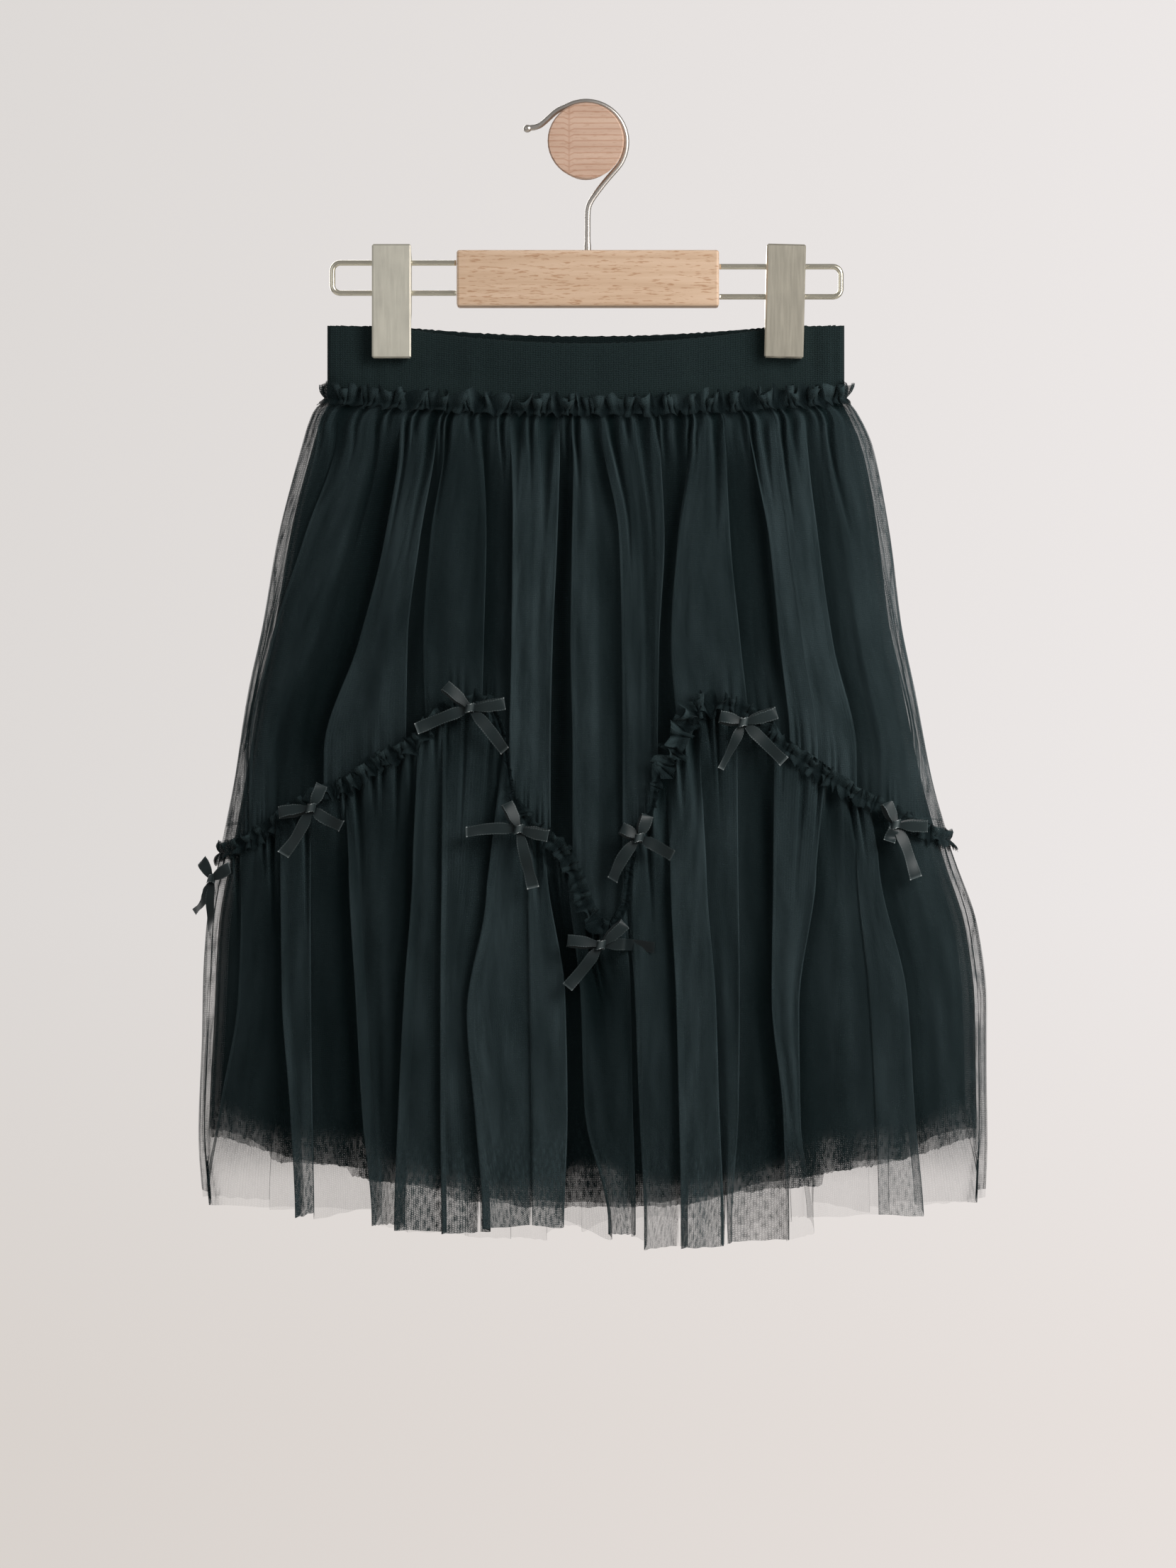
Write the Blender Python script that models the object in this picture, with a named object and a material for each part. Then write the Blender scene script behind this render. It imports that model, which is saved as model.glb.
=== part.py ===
"""Mesh skirt with a bow-trimmed tier, clipped to a wooden hanger that hangs on a round wall peg.

All sizes are in millimetres and are turned into metres when a mesh is made. The origin is the centre of the
peg's flat back face, on the wall. +X is to the viewer's right, +Z is up and the front of the skirt faces -Y.
"""
from math import atan2, cos, hypot, pi, sin, sqrt

import bmesh
import bpy
from mathutils import Vector

MM = 0.001
GAP = 0.3  # between pieces that touch

# Hanging plane, which runs through the hook, the wires and the side seams
PLANE_Y = -38.0

# Peg
PEG_LENGTH = 45.0
PEG_FRONT_R = 19.4
PEG_WALL_R = 15.4
PEG_BEVEL = 0.7

# Hook and wire loops
HOOK_WIRE_R = 1.45
COLLAR_R = 1.75
COLLAR_HEIGHT = 3.6
LOOP_WIRE_R = 1.4
LOOP_PITCH = 15.3  # between the two runs of a wire loop
LOOP_CORNER_R = 4.0

# Bar
BAR_LEFT = -65.5
BAR_RIGHT = 67.5
BAR_TOP = -55.3
BAR_BOTTOM = -83.8
BAR_DEPTH = 14.0
BAR_BEVEL = 1.2

# Clips
CLIP_WIDTH = 19.8
CLIP_TOP = -52.4
CLIP_HEIGHT = 57.8
CLIP_FRONT_Y = -46.5
CLIP_SHEET = 1.2
CLIP_REACH = 15.5  # depth of the side flanges where the wires pass
CLIP_EDGE = 0.8  # bevel round the front plate
WIRE_PLAY = 0.6

# Cloth walls
BAND_WALL = 1.6
NET_WALL = 1.0
RIBBON_WALL = 1.0
RIBBON_WIDTH = 6.0

# Waistband
BAND_HALF = 131.3
BAND_TOP = -93.6
BAND_BOTTOM = -130.0
BAND_GRIP_Z = -111.0  # the clips pinch the band down to this height
BAND_PINCH = 1.15  # half depth between the clip jaws, to the middle of the wall
BAND_OPEN = 5.4  # half depth at the middle of the top edge
CLIP_INNER_X = 86.0
CLIP_OUTER_X = 114.0
BAND_END_R = 2.6

# Frills: heading of the gathered net above its stitching
WAIST_FRILL_WAVES = 26  # on each half of the skirt
WAIST_FRILL_ABOVE = 8.0
WAIST_FRILL_BELOW = 3.2
TIER_FRILL_WAVES = 26
TIER_FRILL_HALF = 5.0
FRILL_SWING = 3.2  # crest to trough
FRILL_CLEAR = 0.5  # to the panel under it
FRILL_WALL = 1.1  # along the outward direction, for 1 mm across the slope of a wave

# Shape of a horizontal section: 2 is an ellipse, more is squarer
SQUARENESS = 2.5
SAG_END_Z = -250.0  # sections hang with the waist seam above this height

# Outer face of the skirt, from the waist seam to below the hem
SECTIONS = (
    # height, left, right, front, back
    (-124.0, -131.5, 131.5, 9.2, 8.6),
    (-131.0, -132.6, 132.4, 9.6, 9.0),
    (-136.0, -137.5, 136.5, 12.0, 10.5),
    (-156.0, -144.6, 146.0, 15.5, 13.5),
    (-198.0, -156.0, 154.5, 20.0, 17.5),
    (-245.0, -163.8, 160.0, 24.0, 21.5),
    (-280.0, -171.2, 167.0, 26.5, 22.5),
    (-325.0, -179.0, 176.5, 29.0, 24.0),
    (-362.0, -186.0, 187.0, 31.0, 25.5),
    (-400.0, -192.6, 199.0, 32.5, 27.0),
    (-440.0, -194.5, 203.6, 33.5, 29.0),
    (-500.0, -196.8, 204.0, 34.0, 31.5),
    (-560.0, -193.0, 202.0, 34.0, 33.0),
)

# Seam between the upper panel and the tier, across the front from left to right
SEAM = (
    # x, height
    (-187.6, -361.0),
    (-172.4, -355.6),
    (-161.3, -347.3),
    (-143.6, -334.7),
    (-122.8, -325.4),
    (-107.6, -314.2),
    (-89.6, -304.5),
    (-80.3, -293.7),
    (-67.3, -285.4),
    (-58.0, -284.0),
    (-49.5, -288.5),
    (-44.0, -299.0),
    (-41.0, -312.0),
    (-37.0, -333.0),
    (-27.7, -347.3),
    (-14.0, -358.1),
    (-7.4, -369.5),
    (-2.4, -387.5),
    (7.0, -399.0),
    (16.0, -388.5),
    (20.6, -370.7),
    (26.4, -350.2),
    (34.6, -338.3),
    (39.6, -322.0),
    (49.0, -310.2),
    (55.5, -297.0),
    (62.5, -288.0),
    (74.0, -285.5),
    (90.4, -289.5),
    (100.5, -302.0),
    (117.0, -313.5),
    (131.8, -323.9),
    (144.7, -332.6),
    (160.9, -341.6),
    (177.1, -351.6),
    (187.6, -354.5),
)

# Hem of the tier across the front, level where the folds come forward
HEM = (
    # x, height
    (-196.0, -536.0),
    (-150.0, -541.5),
    (-108.0, -545.5),
    (-92.0, -551.5),
    (-52.0, -551.0),
    (-28.0, -548.5),
    (2.0, -553.5),
    (34.0, -557.5),
    (68.0, -556.5),
    (102.0, -553.0),
    (128.0, -545.0),
    (168.0, -542.0),
    (203.0, -532.0),
)
HEM_LIFT = 4.0  # the hem is this much higher in a valley between two folds

# Where the seam and the hem meet the side seams
SEAM_END_Z = -358.0
HEM_END_Z = -536.0

# Valleys between the main folds: where each runs, and how deep it is in the upper panel and in the tier
FOLDS = (
    # x at waist, x at seam, x at hem, depth in upper panel, depth in tier
    (-127.0, -176.0, -182.0, 1.6, 3.0),
    (-116.0, -160.0, -155.0, 3.4, 6.5),
    (-101.0, -138.0, -139.0, 6.5, 6.0),
    (-88.0, -118.0, -121.0, 3.8, 8.5),
    (-75.0, -93.0, -97.0, 6.5, 10.0),
    (-63.0, -73.0, -75.0, 4.0, 9.5),
    (-51.0, -54.0, -57.0, 7.0, 7.5),
    (-36.0, -33.5, -40.0, 4.0, 8.0),
    (-11.5, -5.0, -9.0, 8.0, 10.0),
    (9.0, 20.0, 23.0, 7.0, 9.5),
    (30.0, 40.0, 45.0, 5.0, 9.0),
    (50.0, 61.0, 69.0, 7.0, 9.5),
    (71.0, 84.0, 94.0, 5.0, 10.0),
    (91.0, 108.0, 115.0, 6.0, 7.0),
    (109.0, 134.0, 142.0, 6.0, 7.0),
    (123.0, 163.0, 171.0, 3.0, 5.0),
)

# Hem and inset of the two inner layers
INNER_WAVES = 6  # across each half
INNER_SWING = 4.0
UNDERLAYER = {"side_hem": -500.0, "drop": 43.0, "wave_drop": 3.0}
LINING = {"side_hem": -491.0, "drop": 36.0, "wave_drop": 7.0}
INNER_INSETS = (
    # height, underlayer side, underlayer front and back, lining side, lining front and back
    (-131.0, 3.4, 3.2, 6.2, 5.4),
    (-140.0, 4.9, 5.6, 7.9, 8.0),
    (-150.0, 5.4, 7.0, 8.4, 9.6),
    (-160.0, 5.6, 8.2, 8.8, 11.0),
    (-198.0, 6.2, 9.8, 9.8, 12.8),
    (-280.0, 5.8, 10.4, 10.5, 13.4),
    (-362.0, 6.0, 11.0, 11.5, 14.4),
    (-440.0, 6.0, 13.8, 12.0, 17.4),
    (-560.0, 5.0, 14.0, 9.5, 18.0),
)

# Bows along the tier seam: the knot and how far it reaches in behind the ribbons, then each loop and tail tip
# as seen from the knot
BOWS = (
    # name, side, knot x, knot height, foot, loop, loop, tail, tail
    ("bow_1", "front", -137.2, -338.3, 0.0, (-16.6, -2.2), (5.4, 11.9), (15.8, -9.0), (-14.0, -23.4)),
    ("bow_2", "front", -58.0, -288.0, 0.0, (-12.6, 11.5), (17.6, 2.5), (-27.0, -10.4), (17.6, -21.6)),
    ("bow_3", "front", -33.5, -348.8, 0.0, (-6.1, 13.3), (14.8, -3.2), (-26.6, -1.4), (7.2, -29.5)),
    ("bow_4", "front", 7.6, -406.7, 0.0, (-16.9, 2.2), (12.2, 10.8), (27.0, -1.4), (-16.9, -21.2)),
    ("bow_5", "front", 26.6, -353.1, 0.7, (-9.0, 5.0), (4.3, 11.5), (16.9, -9.0), (-13.3, -21.2)),
    ("bow_6", "front", 78.8, -295.1, 0.0, (-11.9, 2.9), (16.9, 5.0), (-11.5, -23.4), (20.5, -19.8)),
    ("bow_7", "front", 154.4, -346.6, 0.0, (-4.3, 11.2), (16.9, -0.7), (10.0, -27.0), (-3.6, -8.5)),
    ("bow_8", "front", -184.3, -374.2, 4.6, (-9.5, 9.6), (12.0, 6.0), (-11.0, -17.0), (2.0, -26.5)),
    ("bow_9", "back", 137.2, -338.3, 0.0, (15.9, -3.0), (-6.4, 11.4), (-16.5, -8.4), (13.0, -23.0)),
    ("bow_10", "back", 58.0, -288.0, 0.0, (12.4, 10.8), (-17.0, 3.1), (24.0, -12.4), (-16.6, -22.0)),
    ("bow_11", "back", -7.6, -406.7, 0.0, (16.1, 3.0), (-12.8, 9.9), (-24.0, -5.4), (15.2, -22.0)),
    ("bow_12", "back", -78.8, -295.1, 0.0, (12.3, 3.4), (-16.0, 5.6), (12.5, -22.6), (-19.5, -19.0)),
    ("bow_13", "back", -154.4, -346.6, 0.0, (6.3, 11.0), (-15.9, 0.8), (-9.0, -26.0), (8.6, -17.5)),
)

COLOURS = {
    # name: colour, roughness, metallic
    "net": ((0.010, 0.016, 0.018), 0.75, 0.0),
    "lining": ((0.004, 0.007, 0.008), 0.6, 0.0),
    "elastic": ((0.008, 0.014, 0.016), 0.85, 0.0),
    "ribbon": ((0.030, 0.036, 0.036), 0.4, 0.0),
    "beech": ((0.60, 0.40, 0.26), 0.55, 0.0),
    "champagne_metal": ((0.50, 0.46, 0.36), 0.3, 1.0),
    "steel": ((0.62, 0.60, 0.57), 0.22, 1.0),
}


# Helpers

def clear_scene():
    for thing in list(bpy.data.objects):
        bpy.data.objects.remove(thing, do_unlink=True)


def material(name, look):
    colour, roughness, metallic = COLOURS[look]
    made = bpy.data.materials.new(name)
    made.use_nodes = True
    shader = made.node_tree.nodes["Principled BSDF"]
    shader.inputs["Base Color"].default_value = (*colour, 1.0)
    shader.inputs["Roughness"].default_value = roughness
    shader.inputs["Metallic"].default_value = metallic
    return made


def add_mesh(name, points, faces, look, smooth_angle=40.0):
    """One named object with its own material, from points in millimetres."""
    mesh = bpy.data.meshes.new(name)
    mesh.from_pydata([Vector(p) * MM for p in points], [], faces)
    mesh.shade_smooth()
    mesh.set_sharp_from_angle(angle=smooth_angle * pi / 180)
    made = bpy.data.objects.new(name, mesh)
    made.data.materials.append(material(name, look))
    bpy.context.scene.collection.objects.link(made)
    return made


def mix(a, b, share):
    return a + (b - a) * share


def smooth_step(value, low, high):
    share = min(max((value - low) / (high - low), 0.0), 1.0)
    return share * share * (3.0 - 2.0 * share)


def read_table(rows, key, column):
    """Smooth reading of a table whose first column runs steadily up or down."""
    turn = 1.0 if rows[-1][0] > rows[0][0] else -1.0
    last = len(rows) - 1
    if (key - rows[0][0]) * turn <= 0:
        return rows[0][column]
    if (key - rows[last][0]) * turn >= 0:
        return rows[last][column]
    i = max(k for k in range(last) if (key - rows[k][0]) * turn >= 0)

    def slope(k):
        if k <= 0 or k >= last:
            return 0.0
        before = (rows[k][column] - rows[k - 1][column]) / (rows[k][0] - rows[k - 1][0])
        after = (rows[k + 1][column] - rows[k][column]) / (rows[k + 1][0] - rows[k][0])
        return 0.0 if before * after <= 0 else 2.0 * before * after / (before + after)

    width = rows[i + 1][0] - rows[i][0]
    t = (key - rows[i][0]) / width
    low, high = rows[i][column], rows[i + 1][column]
    return (
        low * (1 + 2 * t) * (1 - t) ** 2
        + high * t * t * (3 - 2 * t)
        + width * t * (1 - t) * (slope(i) * (1 - t) - slope(i + 1) * t)
    )


def offset_line(line, distance, ends_along_x):
    """A row of points moved sideways in plan by a distance, to the left of the way it runs."""
    moved = []
    last = len(line) - 1
    for k, (x, y, z) in enumerate(line):
        before = line[max(k - 1, 0)]
        after = line[min(k + 1, last)]
        first = Vector((x - before[0], y - before[1]))
        second = Vector((after[0] - x, after[1] - y))
        if not ends_along_x and k in (0, last):
            before, after = line[last - 1], line[1]
            first = Vector((line[0][0] - before[0], line[0][1] - before[1]))
            second = Vector((after[0] - line[0][0], after[1] - line[0][1]))
        first = first.normalized() if first.length > 1e-9 else second.normalized()
        second = second.normalized() if second.length > 1e-9 else first
        along = (first + second).normalized()
        stretch = min(1.0 / max(along.dot(second), 0.55), 1.8)
        side = Vector((-along.y, along.x))
        if ends_along_x and k in (0, last):
            side = Vector((1.0 if side.x > 0 else -1.0, 0.0))
            stretch = 1.0
        moved.append((x + side.x * distance * stretch, y + side.y * distance * stretch, z))
    return moved


def wall(name, rows, thickness, look, closed=False, inner_rows=None):
    """A cloth wall: rows of outer points, top to bottom, and the same rows moved inward.

    Rows run so that the inside of the skirt is on their left, seen from above. A closed row ends on its first
    point. Inner rows are given where a row is too steep to be moved in plan."""
    inner_rows = inner_rows or [offset_line(row, thickness, not closed) for row in rows]
    outer = [point for row in rows for point in row]
    inner = [point for row in inner_rows for point in row]
    wide = len(rows[0])
    deep = len(rows)
    count = wide * deep
    faces = []
    for j in range(deep - 1):
        for k in range(wide - 1):
            a, b = j * wide + k, j * wide + k + 1
            c, d = b + wide, a + wide
            faces.append((a, b, c, d))
            faces.append((count + a, count + d, count + c, count + b))
    for k in range(wide - 1):
        low = (deep - 1) * wide + k
        faces.append((k, count + k, count + k + 1, k + 1))
        faces.append((low, low + 1, count + low + 1, count + low))
    if not closed:
        for j in range(deep - 1):
            a, d = j * wide, (j + 1) * wide
            faces.append((a, d, count + d, count + a))
            a, d = a + wide - 1, d + wide - 1
            faces.append((a, count + a, count + d, d))
    made = add_mesh(name, outer + inner, faces, look, 50.0)
    finish_mesh(made)
    return made


def finish_mesh(made):
    """Joins doubled points and turns all faces outward."""
    mesh = bmesh.new()
    mesh.from_mesh(made.data)
    bmesh.ops.remove_doubles(mesh, verts=mesh.verts, dist=0.00001)
    bmesh.ops.recalc_face_normals(mesh, faces=mesh.faces)
    mesh.to_mesh(made.data)
    mesh.free()


def tube(name, path, radii, sides, look):
    """A round bar along a path that lies in one upright plane."""
    points = []
    last = len(path) - 1
    for k, (x, z) in enumerate(path):
        before, after = path[max(k - 1, 0)], path[min(k + 1, last)]
        length = hypot(after[0] - before[0], after[1] - before[1])
        across = ((after[1] - before[1]) / length, -(after[0] - before[0]) / length)
        for s in range(sides):
            turn = 2 * pi * (s + 0.5) / sides
            out, deep = radii[k] * cos(turn), radii[k] * sin(turn)
            points.append((x + across[0] * out, PLANE_Y + deep, z + across[1] * out))
    faces = []
    for k in range(last):
        for s in range(sides):
            t = (s + 1) % sides
            faces.append((k * sides + s, k * sides + t, (k + 1) * sides + t, (k + 1) * sides + s))
    faces.append(tuple(range(sides)))
    faces.append(tuple(last * sides + s for s in range(sides)))
    made = add_mesh(name, points, faces, look, 50.0)
    finish_mesh(made)
    return made


def box(name, low, high, look, bevel=0.0):
    corners = [(x, y, z) for x in (low[0], high[0]) for y in (low[1], high[1]) for z in (low[2], high[2])]
    faces = [(0, 1, 3, 2), (4, 6, 7, 5), (0, 4, 5, 1), (2, 3, 7, 6), (0, 2, 6, 4), (1, 5, 7, 3)]
    made = add_mesh(name, corners, faces, look, 30.0)
    finish_mesh(made)
    if bevel:
        edge = made.modifiers.new("Bevel", "BEVEL")
        edge.width = bevel * MM
        edge.segments = 2
        edge.limit_method = "ANGLE"
    return made


def guide(made):
    """Keeps an object that only cuts or joins another out of the model."""
    made.hide_render = True
    made.display_type = "WIRE"
    return made


def boolean(target, operation, operands):
    group = bpy.data.collections.new(target.name + "_operands")
    for operand in operands:
        group.objects.link(guide(operand))
    change = target.modifiers.new(operation.title(), "BOOLEAN")
    change.operation = operation
    change.operand_type = "COLLECTION"
    change.collection = group
    change.solver = "EXACT"


# Peg and hanger

def make_peg():
    """Turned peg that tapers towards the wall, with its axis along Y."""
    profile = (
        (0.0, PEG_WALL_R),
        (-PEG_LENGTH + PEG_BEVEL, PEG_FRONT_R),
        (-PEG_LENGTH, PEG_FRONT_R - PEG_BEVEL),
    )
    sides = 40
    points = []
    for y, radius in profile:
        for s in range(sides):
            turn = 2 * pi * s / sides
            points.append((radius * cos(turn), y, radius * sin(turn)))
    faces = [tuple(range(sides)), tuple(2 * sides + s for s in range(sides))]
    for k in range(len(profile) - 1):
        for s in range(sides):
            t = (s + 1) % sides
            faces.append((k * sides + s, k * sides + t, (k + 1) * sides + t, (k + 1) * sides + s))
    finish_mesh(add_mesh("peg", points, faces, "beech", 30.0))


def arc(centre, radius, start, end, steps):
    """Points of a round bend, angles in degrees."""
    points = []
    for k in range(steps + 1):
        turn = mix(start, end, k / steps) * pi / 180
        points.append((centre[0] + radius * cos(turn), centre[1] + radius * sin(turn)))
    return points


def make_hook():
    """Wire that runs from its ball tip over the peg, round its right side and down into the bar."""
    seat_r = mix(PEG_WALL_R, PEG_FRONT_R, -PLANE_Y / PEG_LENGTH) + GAP + HOOK_WIRE_R
    tip_x, tip_z = -29.7, 6.9
    path = [(tip_x + d, tip_z + 0.25 * d) for d in (-1.9, -1.6, -0.9, 0.0, 0.9, 1.7)]
    radii = [0.7, 1.3, 1.8, 2.0, 1.75, 1.2]
    path += [(-26.4, 7.4), (-23.9, 8.1), (-21.6, 9.7), (-18.2, 12.9), (-14.6, 16.2)]
    path += arc((0.0, 0.0), seat_r, 122.0, -38.0, 16)
    path += [(10.6, -19.0), (6.6, -24.2), (3.0, -29.0), (1.4, -32.2), (0.9, -35.6)]
    path += [(0.9, BAR_TOP + GAP + COLLAR_HEIGHT + 0.2)]
    radii += [HOOK_WIRE_R] * (len(path) - len(radii))
    path += [(0.9, BAR_TOP + GAP + COLLAR_HEIGHT), (0.9, BAR_TOP + GAP)]
    radii += [COLLAR_R, COLLAR_R]
    tube("hook", path, radii, 8, "steel")


def make_wire_loop(name, end_x, bar_x, middle_z):
    """A wire out of the bar's end, round and back into it."""
    way = 1.0 if end_x > bar_x else -1.0
    top, bottom = middle_z + LOOP_PITCH / 2, middle_z - LOOP_PITCH / 2
    start_x = bar_x + way * GAP
    bend_x = end_x - way * (LOOP_WIRE_R + LOOP_CORNER_R)
    first = arc((0.0, 0.0), LOOP_CORNER_R, 90.0, 0.0, 4)
    upper = [(bend_x + way * x, top - LOOP_CORNER_R + z) for x, z in first]
    lower = [(bend_x + way * x, bottom + LOOP_CORNER_R - z) for x, z in reversed(first)]
    path = [(start_x, top)] + upper + lower + [(start_x, bottom)]
    tube(name, path, [LOOP_WIRE_R] * len(path), 8, "champagne_metal")


def make_bar():
    low = (BAR_LEFT, PLANE_Y - BAR_DEPTH / 2, BAR_BOTTOM)
    high = (BAR_RIGHT, PLANE_Y + BAR_DEPTH / 2, BAR_TOP)
    box("bar", low, high, "beech", BAR_BEVEL)


def plate(name, outline, thickness, look):
    """A flat piece: an outline of (y, z) points, from x = 0 to its thickness."""
    count = len(outline)
    points = [(0.0, y, z) for y, z in outline] + [(thickness, y, z) for y, z in outline]
    faces = [tuple(range(count)), tuple(count + k for k in range(count))]
    faces += [(k, (k + 1) % count, count + (k + 1) % count, count + k) for k in range(count)]
    made = add_mesh(name, points, faces, look, 30.0)
    finish_mesh(made)
    return made


def make_clip(side, middle_x, wires_z, tilt):
    """Front channel with holes for the wires and a gripping lip, and a channelled arm behind the cloth."""
    top, bottom = CLIP_TOP, CLIP_TOP - CLIP_HEIGHT
    half = CLIP_WIDTH / 2
    middle_z = (top + bottom) / 2
    grip = BAND_PINCH + BAND_WALL / 2 + GAP
    lip_y = PLANE_Y - grip
    back_y = CLIP_FRONT_Y + CLIP_REACH
    name = "clip_" + side + "_front"
    front = box(name, (-half, CLIP_FRONT_Y, bottom), (half, lip_y, top), "champagne_metal", CLIP_EDGE)
    front.modifiers["Bevel"].segments = 1
    hollow_low = (-half + CLIP_SHEET, CLIP_FRONT_Y + CLIP_SHEET, bottom + CLIP_SHEET)
    hollow = box(name + "_hollow", hollow_low, (half - CLIP_SHEET, lip_y + 5.0, top + 5.0), "champagne_metal")
    outline = (
        (lip_y - 2.0, top - 3.0),
        (back_y, top - 6.0),
        (back_y, top - 34.0),
        (lip_y - 2.0, BAND_TOP + 2.0),
    )
    flanges = []
    for end, x in (("a", -half), ("b", half - CLIP_SHEET)):
        flange = plate(name + "_flange_" + end, outline, CLIP_SHEET, "champagne_metal")
        flange.location.x = x * MM
        flanges.append(flange)
    wires = []
    for level in (wires_z + LOOP_PITCH / 2, wires_z - LOOP_PITCH / 2):
        hole = LOOP_WIRE_R + WIRE_PLAY
        low = (-half - 5.0, PLANE_Y - hole, level - hole)
        wires.append(box(name + "_wire_hole", low, (half + 5.0, PLANE_Y + hole, level + hole), "steel"))
    boolean(front, "DIFFERENCE", [hollow])
    boolean(front, "UNION", flanges)
    boolean(front, "DIFFERENCE", wires)
    arm_half = half - CLIP_SHEET - 0.5
    arm_low = PLANE_Y + grip
    arm = box(
        "clip_" + side + "_back",
        (-arm_half, arm_low, bottom),
        (arm_half, arm_low + 4.4, top - 8.0),
        "champagne_metal",
        0.5,
    )
    arm.modifiers["Bevel"].segments = 1
    channel_low = (-arm_half + CLIP_SHEET, arm_low + CLIP_SHEET, bottom + CLIP_SHEET)
    channel_high = (arm_half - CLIP_SHEET, arm_low + 9.0, top - 8.0 - CLIP_SHEET)
    channel = box("clip_" + side + "_channel", channel_low, channel_high, "champagne_metal")
    boolean(arm, "DIFFERENCE", [channel])
    pivot = bpy.data.objects.new("clip_" + side, None)
    bpy.context.scene.collection.objects.link(pivot)
    pivot.location = Vector((middle_x, 0.0, middle_z)) * MM
    pivot.rotation_euler.y = tilt * pi / 180
    for piece in (front, arm, hollow, channel, *flanges, *wires):
        piece.location.z -= middle_z * MM
        piece.parent = pivot


# Skirt

def side_sign(side):
    return -1.0 if side == "front" else 1.0


def roundness(share):
    """How deep a horizontal section is at a share of its half width: 1 in the middle, 0 at the side seams."""
    return max(1.0 - abs(share) ** SQUARENESS, 0.0) ** (1.0 / SQUARENESS)


def section_level(side, share, height):
    """The height at which SECTIONS is read, so that the sections near the waist hang with its seam."""
    fading = 1.0 - smooth_step(-height, -BAND_BOTTOM, -SAG_END_Z)
    return height + band_sag(side, share * BAND_HALF) * fading


def outline_point(side, share, height, side_inset=0.0, depth_inset=0.0):
    """A point of the skirt's outer face and its outward direction. share runs from -1, the left seam, to 1."""
    level = section_level(side, share, height)
    left = read_table(SECTIONS, level, 1) + side_inset
    right = read_table(SECTIONS, level, 2) - side_inset
    depth = read_table(SECTIONS, level, 3 if side == "front" else 4) - depth_inset
    half, middle = (right - left) / 2, (right + left) / 2
    share = min(max(share, -1.0), 1.0)
    rise = roundness(share)
    sign = side_sign(side)
    point = Vector((middle + half * share, PLANE_Y + sign * (GAP / 2 + depth * rise), height))
    out_x = abs(share) ** (SQUARENESS - 1) / half * (1.0 if share > 0 else -1.0)
    out_y = sign * rise ** (SQUARENESS - 1) / depth
    return point, Vector((out_x, out_y, 0.0)).normalized()


def share_at(x, height):
    """Where an x lies between the side seams at a height."""
    left, right = read_table(SECTIONS, height, 1), read_table(SECTIONS, height, 2)
    return (x - (left + right) / 2) / ((right - left) / 2)


def mirrored(side, x):
    return x if side == "front" else -x


def seam_height(side, x):
    """The back's seam is the front's seen from behind, and meets it at the side seams."""
    height = read_table(SEAM, mirrored(side, x), 1)
    if side == "back":
        own = read_table(SEAM, x, 1)
        height = mix(height, own, smooth_step(abs(x), 150.0, 184.0))
    return height


def hem_height(side, x):
    height = read_table(HEM, mirrored(side, x), 1)
    if side == "back":
        own = read_table(HEM, x, 1)
        height = mix(height + 3.0, own, smooth_step(abs(x), 130.0, 190.0))
    return height


def band_sag(side, x):
    """How far the waist seam hangs below its ends."""
    most = 6.8 if side == "front" else 4.2
    return most * max(1.0 - (x / BAND_HALF) ** 2, 0.0)


def band_top_sag(side, x):
    most = 8.9 if side == "front" else 4.6
    return most * max(1.0 - (x / 98.0) ** 2, 0.0)


def make_columns():
    """Lines that run down both panels: a valley, then three on the fold beside it, and so on.

    Each is (x at waist, x at seam, x at hem, upper depth, tier depth, kind)."""
    ends = [(-1.0, "edge"), (-0.993, "edge"), (-0.975, "fold")]
    columns = [(share, None, kind) for share, kind in ends]
    for k, fold in enumerate(FOLDS):
        columns.append((None, fold, "valley"))
        if k + 1 < len(FOLDS):
            following = FOLDS[k + 1]
            for part, kind in ((0.3, "flank"), (0.5, "crest"), (0.7, "flank")):
                between = tuple(mix(a, b, part) for a, b in zip(fold, following))
                columns.append((None, between, kind))
    columns += [(-share, None, kind) for share, kind in reversed(ends)]
    return columns


def column_share(column, side, height, seam_z, hem_z):
    """Where a column lies between the side seams at a height."""
    share, fold, _ = column
    if fold is None:
        return share
    waist = share_at(fold[0], BAND_BOTTOM)
    seam = share_at(fold[1], seam_z)
    hem = share_at(fold[2], hem_z)
    if height > seam_z:
        found = mix(waist, seam, smooth_step(-height, -BAND_BOTTOM, -seam_z))
    else:
        found = mix(seam, hem, smooth_step(-height, -seam_z, -hem_z))
    return found if side == "front" else -found


def fold_depth(column, level, upper):
    """How far a column lies behind the outer face. level is 0 at the panel's top edge and 1 at its bottom."""
    _, fold, kind = column
    if fold is None:
        return 0.0
    seam_depth = 2.4 * min(fold[3] / 6.0, 1.0)
    gathers = {"valley": 1.2, "flank": 0.0, "crest": 1.2, "edge": 0.0, "fold": 0.0}[kind]
    strength = {"valley": 1.0, "flank": 0.22, "crest": 0.0, "edge": 0.0, "fold": 0.0}[kind]
    if upper:
        deep = fold[3] * smooth_step(level, 0.0, 0.35)
        deep = mix(deep, seam_depth, smooth_step(level, 0.72, 1.0))
        small = gathers * (1.0 - smooth_step(level, 0.08, 0.35)) * (1.0 + smooth_step(level, 0.0, 0.1))
        return deep * strength + small
    deep = mix(seam_depth, fold[4], smooth_step(level, 0.0, 0.5))
    return deep * strength


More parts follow.
